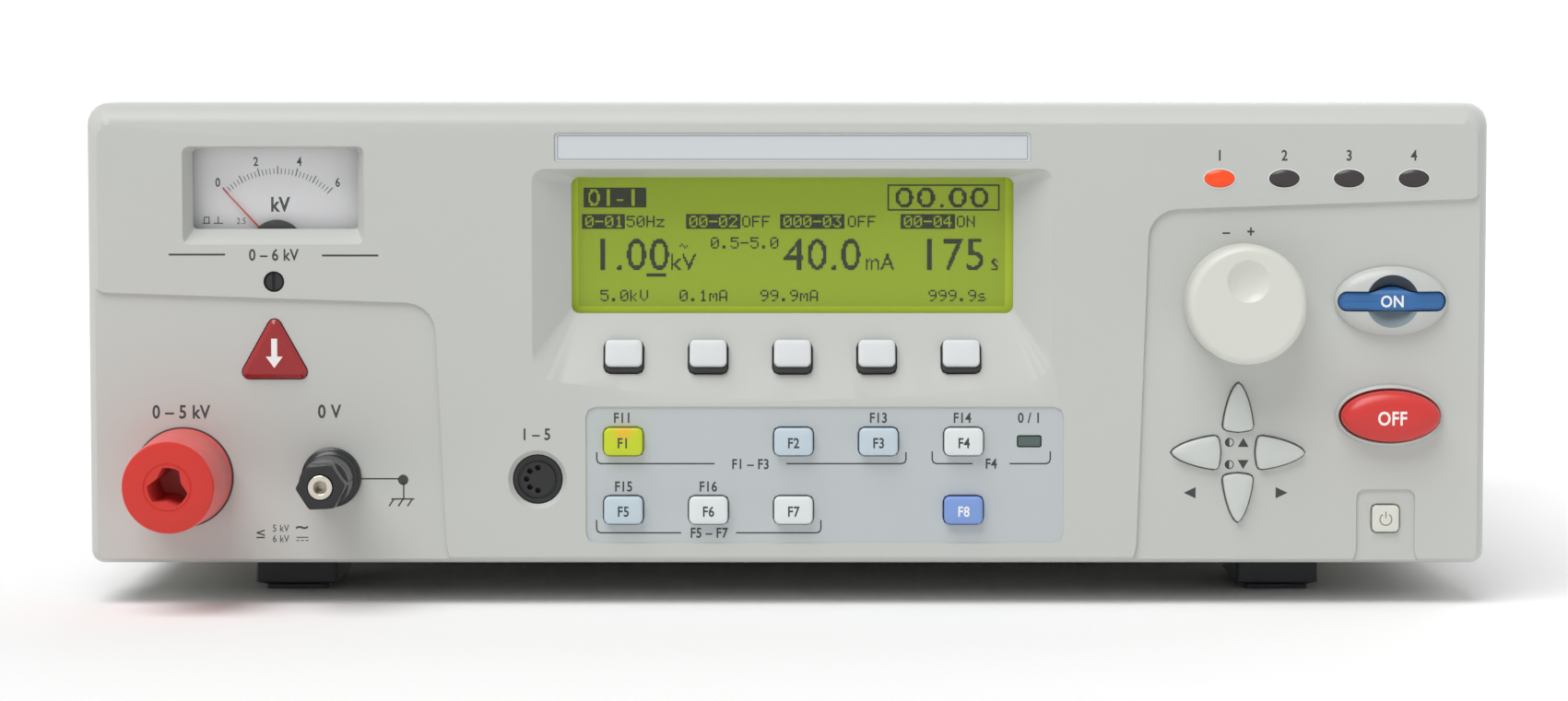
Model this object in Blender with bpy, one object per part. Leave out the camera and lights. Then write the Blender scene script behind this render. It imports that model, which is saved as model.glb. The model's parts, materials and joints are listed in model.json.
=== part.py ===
"""A bench hipot tester: a moulded front bezel on a sheet-steel case of full rack width.

Metres, +Z up. The front faces -Y, and +X is to the viewer's right. The origin is at the middle of the
footprint, on the bench. Depths are measured from the bezel's face towards the rear.
"""

import math

import bmesh
import bpy
from mathutils import Vector

# Fits and stock
GAP = 0.0003
WALL = 0.003
SHEET = 0.0015
BOARD = 0.0016
PAST = 0.004

# Case
BEZEL_WIDTH = 0.430
BEZEL_DEPTH = 0.034
BODY_DEPTH = 0.350
FOOT_HEIGHT = 0.0125
TOP_CORNER = 0.0065
BOTTOM_CORNER = 0.004
EDGE_DEPTH = 0.009
TOP_EDGE = 0.0063
EDGE_TIGHTENING = 0.5
SIDE_EDGE = 0.004
BOTTOM_EDGE = 0.0025
EDGE_START = math.radians(30)
COVER_INSET = 0.0025
COVER_CORNER = 0.005
TONGUE = 0.0004
TUCK = 0.005
REAR_RECESS = 0.002

# Middle of the face, from the bottom edge up: key field, display pan, name strip
KEY_FIELD_MARGIN = 0.0068
KEY_FIELD_HEIGHT = 0.042
KEY_FIELD_WIDTH = 0.1466
KEY_FIELD_X = 0.0115
KEY_FIELD_SUNK = 0.0004
PAN_MARGIN = 0.0023
APRON_RISE = 0.026
LCD_OPENING_WIDTH = 0.1361
LCD_OPENING_HEIGHT = 0.042
PAN_BROW = 0.0027
STRIP_MARGIN = 0.0021
STRIP_HEIGHT = 0.009
STRIP_WIDTH = 0.1457
STRIP_SUNK = 0.0005
TOP_MARGIN = 0.0091
BEZEL_HEIGHT = (
    KEY_FIELD_MARGIN
    + KEY_FIELD_HEIGHT
    + PAN_MARGIN
    + APRON_RISE
    + LCD_OPENING_HEIGHT
    + PAN_BROW
    + STRIP_MARGIN
    + STRIP_HEIGHT
    + TOP_MARGIN
)
DISPLAY_X = 0.0016
PAN_SIDE = 0.0117
PAN_DEPTH = 0.009
PAN_WALL = 0.002
PAN_BOW = 0.0065

# Sunk fields at both lower corners of the face
FIELD_SUNK = 0.001
LEFT_FIELD_WIDTH = 0.1067
LEFT_FIELD_HEIGHT = 0.0805
RIGHT_FIELD_WIDTH = 0.1041
RIGHT_FIELD_HEIGHT = 0.1092
FIELD_RISE = 0.0034
FIELD_LEAN = 0.0035
FIELD_CORNER = 0.009
POWER_FIELD_WIDTH = 0.0179
POWER_FIELD_HEIGHT = 0.0233
POWER_FIELD_SUNK = 0.0008

# Keys
KEY_WIDTH = 0.0121
KEY_HEIGHT = 0.0086
KEY_CORNER = 0.0018
KEY_REACH = 0.0026
KEY_FLANGE = 0.001
KEY_PITCH = 0.0261
KEY_TRAVEL = 0.001
UPPER_ROW = 0.0314
LOWER_ROW = 0.0103
SOFT_KEY_WIDTH = 0.0119
SOFT_KEY_HEIGHT = 0.0102
SOFT_KEY_PITCH = 0.0259
SOFT_KEY_REACH = 0.0036
SOFT_KEY_RISE = 0.0126
PETAL_LENGTH = 0.0148
PETAL_UPRIGHT_WIDTH = 0.0097
PETAL_LEVEL_WIDTH = 0.0107
PETAL_UPRIGHT_START = 0.0067
PETAL_LEVEL_START = 0.0057
PETAL_CORNER = 0.0018

# Boards behind the face
KEY_BOARD_DEPTH = 0.0105
SOFT_BOARD_DEPTH = 0.0075
SOFT_BOARD_HEIGHT = 0.0095
SWITCH_SIZE = 0.006
BOSS_RADIUS = 0.0028

# Display
LCD_OVERLAP = 0.0018
LCD_WINDOW_THICKNESS = 0.0015
LCD_MODULE_THICKNESS = 0.009
LCD_BOARD_WIDTH = 0.158
LCD_BOARD_HEIGHT = 0.060

# Meter
METER_FROM_EDGE = 0.0578
METER_FROM_TOP = 0.0133
METER_RECESS_WIDTH = 0.0556
METER_RECESS_HEIGHT = 0.0299
METER_WINDOW_WIDTH = 0.0506
METER_WINDOW_HEIGHT = 0.0246
METER_WINDOW_DROP = 0.0008
METER_RECESS_DEPTH = 0.005
METER_LIP = 0.0015
METER_CASE_WALL = 0.0016
METER_CASE_DEPTH = 0.022
METER_DIAL_DEPTH = 0.0062
METER_GLASS = 0.0012
PIVOT_DROP = 0.0057
POINTER_LENGTH = 0.0246
POINTER_WIDTH = 0.0007
POINTER_REST = math.radians(43)
ADJUSTER_DROP = 0.0115
ADJUSTER_RADIUS = 0.0029

# Lamps
STATUS_PITCH = 0.0198
STATUS_FROM_EDGE = 0.05315
STATUS_FROM_TOP = 0.0231
STATUS_WIDTH = 0.0092
STATUS_HEIGHT = 0.0053
REMOTE_LENS_WIDTH = 0.007
REMOTE_LENS_HEIGHT = 0.0032
REMOTE_LENS_X = 0.0743
LAMP_DROP = 0.0206
LAMP_WIDTH = 0.0226
LAMP_HEIGHT = 0.0203
LAMP_CORNER = 0.002
LENS_PROUD = 0.0015

# Terminals and the remote socket
HV_FROM_EDGE = 0.0294
TERMINAL_HEIGHT = 0.0271
HV_LENGTH = 0.034
HV_BASE_RADIUS = 0.0150
HV_FACE_RADIUS = 0.0139
HV_NECK_RADIUS = 0.011
HV_SOCKET_DEPTH = 0.025
HV_SOCKET_REACH = 0.0063
HV_SOCKET_WAIST = 0.0043
LOW_FROM_EDGE = 0.075
LOW_LENGTH = 0.0335
LOW_FLANGE_RADIUS = 0.0092
LOW_BODY_RADIUS = 0.0074
LOW_NECK_RADIUS = 0.0058
LOW_CAP_LENGTH = 0.0155
LOW_CAP_FLATS = 0.0130
STUD_RADIUS = 0.0036
STUD_BORE = 0.00205
STUD_BORE_DEPTH = 0.020
SOCKET_X = -0.0767
SOCKET_HEIGHT = 0.0264
SOCKET_RADIUS = 0.0074
SOCKET_RING_RADIUS = 0.0091
SOCKET_SUNK = 0.0022
SOCKET_PIN_CIRCLE = 0.0035
SOCKET_PIN_RADIUS = 0.0009

# Knob, start, stop and power
KNOB_FROM_EDGE = 0.0754
KNOB_SHARE = 0.570
KNOB_RADIUS = 0.0182
KNOB_LENGTH = 0.017
KNOB_WALL = 0.0022
KNOB_DIMPLE_RADIUS = 0.0065
KNOB_DIMPLE_DEPTH = 0.0018
KNOB_DIMPLE_OFFSET = 0.0072
SHAFT_RADIUS = 0.003
BUSHING_RADIUS = 0.0045
BUSHING_LENGTH = 0.006
ENCODER_SIZE = 0.013
ARROWS_FROM_EDGE = 0.0766
ARROWS_SHARE = 0.2447
START_FROM_EDGE = 0.030
START_SHARE = 0.5732
START_SEMI_WIDTH = 0.0174
START_SEMI_HEIGHT = 0.0107
START_CROWN = 0.0045
START_BAR_WIDTH = 0.0326
START_BAR_HEIGHT = 0.0056
START_WELL_RADIUS = 0.0082
START_WELL_DEPTH = 0.0052
START_SPIGOT = 0.0015
START_TRAVEL = 0.0015
STOP_FROM_EDGE = 0.0303
STOP_SHARE = 0.3254
STOP_SEMI_WIDTH = 0.0165
STOP_SEMI_HEIGHT = 0.0095
STOP_LIP = 0.0011
STOP_REACH = 0.008
STOP_TRAVEL = 0.0025
POWER_FROM_EDGE = 0.0310
POWER_HEIGHT = 0.0143
POWER_SIZE = 0.0085
POWER_TRAVEL = 0.001

# Feet and tilt legs
FOOT_FROM_EDGE = 0.0595
FOOT_WIDTH = 0.026
FRONT_FOOT_LENGTH = 0.046
REAR_FOOT_LENGTH = 0.026
FRONT_FOOT_DEPTH = 0.040
REAR_FOOT_MARGIN = 0.030
LEG_WIDTH = 0.016
LEG_THICKNESS = 0.0045
LEG_LENGTH = 0.034
LEG_PIN_RADIUS = 0.0015

# Inside and rear
TRAY_LIP = 0.018
STANDOFF = 0.006
MAIN_BOARD_WIDTH = 0.200
MAIN_BOARD_LENGTH = 0.190
MAIN_BOARD_X = 0.075
MAIN_BOARD_DEPTH = 0.070
RELAY_ROW = 0.120
RELAY_LENGTH = 0.030
RELAY_WIDTH = 0.016
RELAY_HEIGHT = 0.018
TRANSFORMER_WIDTH = 0.084
TRANSFORMER_LENGTH = 0.070
TRANSFORMER_HEIGHT = 0.072
TRANSFORMER_X = -0.145
TRANSFORMER_DEPTH = 0.120
SINK_WIDTH = 0.040
SINK_LENGTH = 0.120
SINK_HEIGHT = 0.060
SINK_FINS = 6
SINK_START = 0.040
FAN_SIZE = 0.080
FAN_THICKNESS = 0.025
FAN_WALL = 0.0025
FAN_HUB = 0.016
FAN_BLADES = 7
FAN_X = -0.110
INLET_X = 0.160
INLET_HEIGHT = 0.030
INLET_WIDTH = 0.0272
INLET_TALL = 0.0196
CONNECTOR_X = 0.055
CONNECTOR_HEIGHT = 0.090
CONNECTOR_WIDTH = 0.054
EARTH_X = 0.110
EARTH_REACH = 0.015
SLOT_WIDTH = 0.0035
SLOT_HEIGHT = 0.040
SLOT_PITCH = 0.009
SLOT_COUNT = 12

# Places that follow from the sizes
PANEL_BOTTOM = FOOT_HEIGHT
PANEL_TOP = FOOT_HEIGHT + BEZEL_HEIGHT
LEFT_EDGE = -BEZEL_WIDTH / 2
RIGHT_EDGE = BEZEL_WIDTH / 2
FOOT_FROM_MIDDLE = RIGHT_EDGE - FOOT_FROM_EDGE
FRONT_REACH = HV_LENGTH - FIELD_SUNK
REAR_REACH = EARTH_REACH - REAR_RECESS
FACE_Y = FRONT_REACH - (FRONT_REACH + BODY_DEPTH + REAR_REACH) / 2
REAR_Y = FACE_Y + BODY_DEPTH
REAR_PANEL_Y = REAR_Y - REAR_RECESS
KEY_FIELD_Z = PANEL_BOTTOM + KEY_FIELD_MARGIN
PAN_BOTTOM = KEY_FIELD_Z + KEY_FIELD_HEIGHT + PAN_MARGIN
LCD_BOTTOM = PAN_BOTTOM + APRON_RISE
LCD_TOP = LCD_BOTTOM + LCD_OPENING_HEIGHT
PAN_TOP = LCD_TOP + PAN_BROW
STRIP_Z = PAN_TOP + STRIP_MARGIN + STRIP_HEIGHT / 2
APRON_ANGLE = math.atan2(PAN_DEPTH, APRON_RISE)
METER_X = LEFT_EDGE + METER_FROM_EDGE
METER_RECESS_TOP = PANEL_TOP - METER_FROM_TOP
METER_RECESS_Z = METER_RECESS_TOP - METER_RECESS_HEIGHT / 2
METER_WINDOW_Z = METER_RECESS_TOP - METER_WINDOW_DROP - METER_WINDOW_HEIGHT / 2
METER_BACK = METER_RECESS_DEPTH + METER_LIP
PIVOT_Z = METER_WINDOW_Z - METER_WINDOW_HEIGHT / 2 - PIVOT_DROP
ADJUSTER_Z = METER_RECESS_TOP - METER_RECESS_HEIGHT - ADJUSTER_DROP
LAMP_Z = ADJUSTER_Z - LAMP_DROP
TERMINAL_Z = PANEL_BOTTOM + TERMINAL_HEIGHT
SOCKET_Z = PANEL_BOTTOM + SOCKET_HEIGHT
HV_X = LEFT_EDGE + HV_FROM_EDGE
LOW_X = LEFT_EDGE + LOW_FROM_EDGE
KNOB_X = RIGHT_EDGE - KNOB_FROM_EDGE
KNOB_Z = PANEL_BOTTOM + KNOB_SHARE * BEZEL_HEIGHT
ARROWS_X = RIGHT_EDGE - ARROWS_FROM_EDGE
ARROWS_Z = PANEL_BOTTOM + ARROWS_SHARE * BEZEL_HEIGHT
START_X = RIGHT_EDGE - START_FROM_EDGE
START_Z = PANEL_BOTTOM + START_SHARE * BEZEL_HEIGHT
STOP_X = RIGHT_EDGE - STOP_FROM_EDGE
STOP_Z = PANEL_BOTTOM + STOP_SHARE * BEZEL_HEIGHT
POWER_X = RIGHT_EDGE - POWER_FROM_EDGE
POWER_Z = PANEL_BOTTOM + POWER_HEIGHT
STATUS_X = RIGHT_EDGE - STATUS_FROM_EDGE
STATUS_Z = PANEL_TOP - STATUS_FROM_TOP
FIRST_COLUMN = KEY_FIELD_X - 0.0618
CASE_BOTTOM = PANEL_BOTTOM + COVER_INSET
CASE_TOP = PANEL_TOP - COVER_INSET
CASE_HALF = BEZEL_WIDTH / 2 - COVER_INSET
TRAY_HALF = CASE_HALF - SHEET - GAP
TRAY_TOP = CASE_BOTTOM + SHEET
CASE_START = FACE_Y + BEZEL_DEPTH - TUCK
FIELD_BACK = WALL - FIELD_SUNK
FAN_BORE = FAN_SIZE / 2 - FAN_WALL

COLOURS = {
    "bezel_plastic": ((0.55, 0.56, 0.54), 0.5, 0.0),
    "painted_steel": ((0.62, 0.63, 0.61), 0.45, 0.0),
    "zinc_steel": ((0.55, 0.55, 0.53), 0.4, 0.8),
    "white_keys": ((0.72, 0.76, 0.77), 0.4, 0.0),
    "pale_keys": ((0.45, 0.58, 0.66), 0.4, 0.0),
    "lit_key": ((0.58, 0.66, 0.02), 0.4, 0.0),
    "blue_key": ((0.2, 0.33, 0.75), 0.4, 0.0),
    "knob_plastic": ((0.78, 0.78, 0.74), 0.4, 0.0),
    "start_blue": ((0.03, 0.14, 0.4), 0.35, 0.0),
    "stop_red": ((0.7, 0.04, 0.04), 0.35, 0.0),
    "terminal_red": ((0.75, 0.03, 0.02), 0.4, 0.0),
    "black_plastic": ((0.02, 0.02, 0.025), 0.45, 0.0),
    "lamp_red": ((0.45, 0.01, 0.015), 0.15, 0.0),
    "clear_lens": ((0.8, 0.85, 0.85), 0.05, 0.0),
    "smoke_lens": ((0.08, 0.05, 0.05), 0.1, 0.0),
    "lcd_green": ((0.35, 0.45, 0.03), 0.3, 0.0),
    "dial_white": ((0.8, 0.8, 0.82), 0.5, 0.0),
    "pointer_red": ((0.7, 0.1, 0.05), 0.4, 0.0),
    "turned_metal": ((0.75, 0.74, 0.7), 0.25, 1.0),
    "board_green": ((0.02, 0.16, 0.07), 0.5, 0.0),
    "core_steel": ((0.2, 0.2, 0.21), 0.5, 0.7),
    "sink_aluminium": ((0.6, 0.6, 0.62), 0.35, 1.0),
    "helper": ((0.9, 0.3, 0.9), 0.5, 0.0),
}


def material(name):
    """The Principled material of this finish, made when it is first needed."""
    if name in bpy.data.materials:
        return bpy.data.materials[name]
    colour, roughness, metallic = COLOURS[name]
    made = bpy.data.materials.new(name)
    made.use_nodes = True
    shader = made.node_tree.nodes["Principled BSDF"]
    shader.inputs["Base Color"].default_value = (*colour, 1.0)
    shader.inputs["Roughness"].default_value = roughness
    shader.inputs["Metallic"].default_value = metallic
    made.diffuse_color = (*colour, 1.0)
    return made


def outline(corners, steps=4):
    """Points round a polygon whose corners, each (across, up, radius), are rounded by arcs."""
    points = []
    for index, (across, up, radius) in enumerate(corners):
        corner = Vector((across, up))
        if radius == 0:
            points.append(corner)
            continue
        before = (Vector(corners[index - 1][:2]) - corner).normalized()
        after = (Vector(corners[(index + 1) % len(corners)][:2]) - corner).normalized()
        half = before.angle(after) / 2
        centre = corner + (before + after).normalized() * radius / math.sin(half)
        first = corner + before * radius / math.tan(half) - centre
        last = corner + after * radius / math.tan(half) - centre
        start = math.atan2(first.y, first.x)
        sweep = (math.atan2(last.y, last.x) - start + math.pi) % math.tau - math.pi
        for step in range(steps + 1):
            angle = start + sweep * step / steps
            points.append(centre + radius * Vector((math.cos(angle), math.sin(angle))))
    return points


def rectangle(width, height, radius=0.0, x=0.0, z=0.0, steps=2):
    left, right = x - width / 2, x + width / 2
    low, high = z - height / 2, z + height / 2
    corners = [(left, low, radius), (right, low, radius), (right, high, radius), (left, high, radius)]
    return outline(corners, steps)


def ellipse(semi_width, semi_height, count=24, x=0.0, z=0.0):
    angles = [math.tau * step / count for step in range(count)]
    return [Vector((x + semi_width * math.cos(a), z + semi_height * math.sin(a))) for a in angles]


def circle(radius, count=24, x=0.0, z=0.0):
    return ellipse(radius, radius, count, x, z)


def offset(points, distance):
    """The outline moved outwards by a distance. It runs anticlockwise."""
    moved = []
    for index, point in enumerate(points):
        before = (point - points[index - 1]).normalized()
        after = (points[(index + 1) % len(points)] - point).normalized()
        first = Vector((before.y, -before.x))
        normal = (first + Vector((after.y, -after.x))).normalized()
        moved.append(point + normal * distance / max(0.5, normal.dot(first)))
    return moved


def shrink(points, share):
    """The outline drawn in towards the middle of its points."""
    middle = sum(points, Vector((0.0, 0.0))) / len(points)
    return [middle + (point - middle) * share for point in points]


def put(point, height, axis):
    """A point of a flat outline, lifted along an axis."""
    if axis == "X":
        return (height, point[0], point[1])
    if axis == "Y":
        return (point[0], height, point[1])
    return (point[0], point[1], height)


def stacked(name, layers, finish, axis="Y", looped=False):
    """A closed solid through outlines, each (place along the axis, points)."""
    mesh = bmesh.new()
    rings = [[mesh.verts.new(put(p, height, axis)) for p in points] for height, points in layers]
    pairs = list(zip(rings, rings[1:]))
    if looped:
        pairs.append((rings[-1], rings[0]))
    sides = []
    for first, second in pairs:
        for index in range(len(first)):
            after = (index + 1) % len(first)
            sides.append(mesh.faces.new((first[index], first[after], second[after], second[index])))
    bmesh.ops.connect_verts_nonplanar(mesh, angle_limit=0.0001, faces=sides)
    if not looped:
        mesh.faces.new(rings[0])
        mesh.faces.new(rings[-1][::-1])
    bmesh.ops.recalc_face_normals(mesh, faces=mesh.faces)
    data = bpy.data.meshes.new(name)
    mesh.to_mesh(data)
    mesh.free()
    data.shade_smooth()
    data.set_sharp_from_angle(angle=math.radians(35))
    data.materials.append(material(finish))
    made = bpy.data.objects.new(name, data)
    bpy.context.scene.collection.objects.link(made)
    return made


def prism(name, points, start, end, finish="helper", axis="Y"):
    return stacked(name, [(start, points), (end, points)], finish, axis)


def block(name, across, along, up, finish="helper"):
    """A box between three pairs of limits."""
    low, high = across
    points = [Vector((low, up[0])), Vector((high, up[0])), Vector((high, up[1])), Vector((low, up[1]))]
    return prism(name, points, along[0], along[1], finish)


def turned(name, profile, finish="helper", count=24, looped=False):
    """A solid of revolution about Y through (depth, radius) points."""
    return stacked(name, [(y, circle(r, count)) for y, r in profile], finish, looped=looped)


def combine(target, tool, operation):
    tool.hide_render = True
    tool.display_type = "WIRE"
    modifier = target.modifiers.new(tool.name, "BOOLEAN")
    modifier.operation = operation
    modifier.solver = "EXACT"
    modifier.object = tool


def cut(target, tool):
    combine(target, tool, "DIFFERENCE")


def join(target, tool):
    combine(target, tool, "UNION")


def place(made, x, depth, z):
    """Puts a piece at a point of the face, this deep behind it."""
    made.location = (x, FACE_Y + depth, z)
    return made


def case_outline(inset, side=0.0, top=0.0, bottom=0.0):
    """The case's outline moved in by a wall, and by more at each edge."""
    half = BEZEL_WIDTH / 2 - inset - side
    low = PANEL_BOTTOM + inset + bottom
    high = PANEL_TOP - inset - top
    top_radius = max(0.0015, TOP_CORNER - inset - EDGE_TIGHTENING * side)
    low_radius = max(0.0010, BOTTOM_CORNER - inset - EDGE_TIGHTENING * side)
    corners = [(-half, low, low_radius), (half, low, low_radius)]
    corners += [(half, high, top_radius), (-half, high, top_radius)]
    return outline(corners, 5)


def rounded_front(wall):
    """Sections of the bezel's rolled edge, a part of an ellipse, all moved in by a wall."""
    layers = []
    steps = 5
    for step in range(steps + 1):
        angle = EDGE_START + (math.pi / 2 - EDGE_START) * step / steps
        share = (1 - math.sin(angle)) / (1 - math.sin(EDGE_START))
        depth = EDGE_DEPTH * (1 - math.cos(angle) / math.cos(EDGE_START))
        points = case_outline(wall, SIDE_EDGE * share, TOP_EDGE * share, BOTTOM_EDGE * share)
        layers.append((FACE_Y + wall + depth, points))
    return layers


def field_outline(side, width, height):
    """A sunk lower corner field: side is -1 at the left and 1 at the right."""
    edge = BEZEL_WIDTH / 2
    inner = edge - width
    low = PANEL_BOTTOM
    high = PANEL_BOTTOM + height
    past = 0.01
    corners = [
        (edge + past, low - past, 0),
        (inner - FIELD_LEAN - 0.004, low - past, 0),
        (inner - FIELD_LEAN, low + 0.006, 0.010),
        (inner, high, FIELD_CORNER),
        (edge - 0.005, high + FIELD_RISE, 0.006),
        (edge + 0.002, high + FIELD_RISE + 0.005, 0),
        (edge + past, high + FIELD_RISE + 0.005, 0),
    ]
    return outline([(side * x, z, r) for x, z, r in corners], 5)


def pan_outline(depth, grow=0.0):
    """The display pan's section at a depth: the face's bowed outline runs into the LCD's opening."""
    share = depth / PAN_DEPTH
    half = LCD_OPENING_WIDTH / 2 + PAN_SIDE * (1 - share) + grow
    low = PAN_BOTTOM + PAN_BOW + (LCD_BOTTOM - PAN_BOTTOM - PAN_BOW) * share - grow
    high = LCD_TOP + PAN_BROW * (1 - share) + grow
    bow = PAN_BOW * (1 - share)
    round_top = 0.0023 + 0.0015 * (1 - share) + grow
    round_low = 0.0023 + 0.0045 * (1 - share) + grow
    corners = [(-half, low, round_low), (half, low, round_low)]
    corners += [(half, high, round_top), (-half, high, round_top)]
    points = outline(corners, 4)
    bottom = [points[4].lerp(points[5], step / 8) for step in range(1, 8)]
    points = points[:5] + bottom + points[5:]
    bowed = []
    for index, point in enumerate(points):
        drop = bow * (1 - (point.x / half) ** 2) if index < 17 else 0.0
        bowed.append(Vector((DISPLAY_X + point.x, point.y - drop)))
    return bowed


def panel_hole(bezel, name, points, x, depth, z, tilt=0.0):
    """An opening through the panel: the outline, widened by the fit, at a point of the face."""
    tool = place(prism(name + "_hole", offset(points, GAP), -PAST, WALL + PAST), x, depth, z)
    tool.rotation_euler.x = tilt
    cut(bezel, tool)


def petal(width):
    """A petal key's outline, its tip up and its base at zero."""
    right = []
    for share in (0.0, 0.04, 0.12, 0.35, 0.6, 0.8, 0.94):
        half = width / 2 * (1 - share**1.5) ** 0.62
        rise = share * PETAL_LENGTH
        if rise < PETAL_CORNER:
            half -= PETAL_CORNER - math.sqrt(PETAL_CORNER**2 - (PETAL_CORNER - rise) ** 2)
        right.append(Vector((half, rise)))
    left = [Vector((-point.x, point.y)) for point in reversed(right)]
    return right + [Vector((0.0, PETAL_LENGTH))] + left + [Vector((0.0, -0.0004))]


def turn_outline(points, angle):
    cosine, sine = math.cos(angle), math.sin(angle)
    return [Vector((p.x * cosine - p.y * sine, p.x * sine + p.y * cosine)) for p in points]


KEY_NAMES = {
    "function_key_withstand": (0, UPPER_ROW, "lit_key"),
    "function_key_insulation": (2, UPPER_ROW, "pale_keys"),
    "function_key_system": (3, UPPER_ROW, "pale_keys"),
    "function_key_local": (4, UPPER_ROW, "white_keys"),
    "function_key_auto": (0, LOWER_ROW, "pale_keys"),
    "function_key_recall": (1, LOWER_ROW, "white_keys"),
    "function_key_enter": (2, LOWER_ROW, "white_keys"),
    "function_key_shift": (4, LOWER_ROW, "blue_key"),
}
ARROWS = {
    "arrow_key_up": (0.0, PETAL_UPRIGHT_START, PETAL_UPRIGHT_WIDTH),
    "arrow_key_left": (math.pi / 2, PETAL_LEVEL_START, PETAL_LEVEL_WIDTH),
    "arrow_key_down": (math.pi, PETAL_UPRIGHT_START, PETAL_UPRIGHT_WIDTH),
    "arrow_key_right": (-math.pi / 2, PETAL_LEVEL_START, PETAL_LEVEL_WIDTH),
}


def key_places():
    """Each function key's name, place across and up, and finish."""
    for name, (column, row, finish) in KEY_NAMES.items():
        yield name, FIRST_COLUMN + KEY_PITCH * column, KEY_FIELD_Z + row, finish


def soft_key_places():
    """Each soft key's name and point on the apron: across, depth and up."""
    depth = SOFT_KEY_RISE * math.tan(APRON_ANGLE)
    for number in range(1, 6):
        across = DISPLAY_X + SOFT_KEY_PITCH * (number - 3)
        yield f"soft_key_{number}", across, depth, PAN_BOTTOM + SOFT_KEY_RISE


def arrow_outline(name):
    """An arrow key's outline about the middle of the four."""
    angle, start, width = ARROWS[name]
    raised = [Vector((p.x, p.y + start)) for p in petal(width)]
    return turn_outline(raised, angle)


def lamp_outline():
    half, low = LAMP_WIDTH / 2, -(LAMP_HEIGHT - LAMP_CORNER) / 2
    corners = [(-half, low, LAMP_CORNER), (half, low, LAMP_CORNER), (0.0, low + LAMP_HEIGHT, LAMP_CORNER)]
    return outline(corners, 4)


def bar_outline(grow=0.0):
    return rectangle(
        START_BAR_WIDTH + 2 * grow, START_BAR_HEIGHT + 2 * grow, START_BAR_HEIGHT / 2 + grow - 1e-5
    )


def board_outline():
    """The key board: a strip behind the key field and a tall part behind the right field."""
    left = FIRST_COLUMN - 0.012
    right = RIGHT_EDGE - 0.009
    low = PANEL_BOTTOM + 0.0045
    strip = KEY_FIELD_Z + KEY_FIELD_HEIGHT - 0.001
    tall = max(RIGHT_EDGE - RIGHT_FIELD_WIDTH - 0.012, DISPLAY_X + LCD_BOARD_WIDTH / 2 + 0.004)
    high = PANEL_TOP - 0.013
    corners = [(left, low), (right, low), (right, high), (tall, high), (tall, strip), (left, strip)]
    return [Vector(corner) for corner in corners]


def board_bosses():
    """Where bosses on the bezel's back carry the key board."""
    points = board_outline()
    left, low = points[0]
    right, high = points[2]
    tall = points[3].x
    inset = 0.0035
    middle = (STOP_Z + START_Z) / 2
    places = [(left + inset, low + inset), (tall + inset, low + inset), (right - inset, middle)]
    return places + [(tall + inset, high - inset), (right - inset, high - inset)]


def lcd_centre():
    return (LCD_BOTTOM + LCD_TOP) / 2


def lcd_board_depth():
    """The depth of the LCD board's front, behind the window and the module."""
    window = PAN_DEPTH + PAN_WALL + GAP + LCD_WINDOW_THICKNESS
    return window + GAP + LCD_MODULE_THICKNESS


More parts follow.
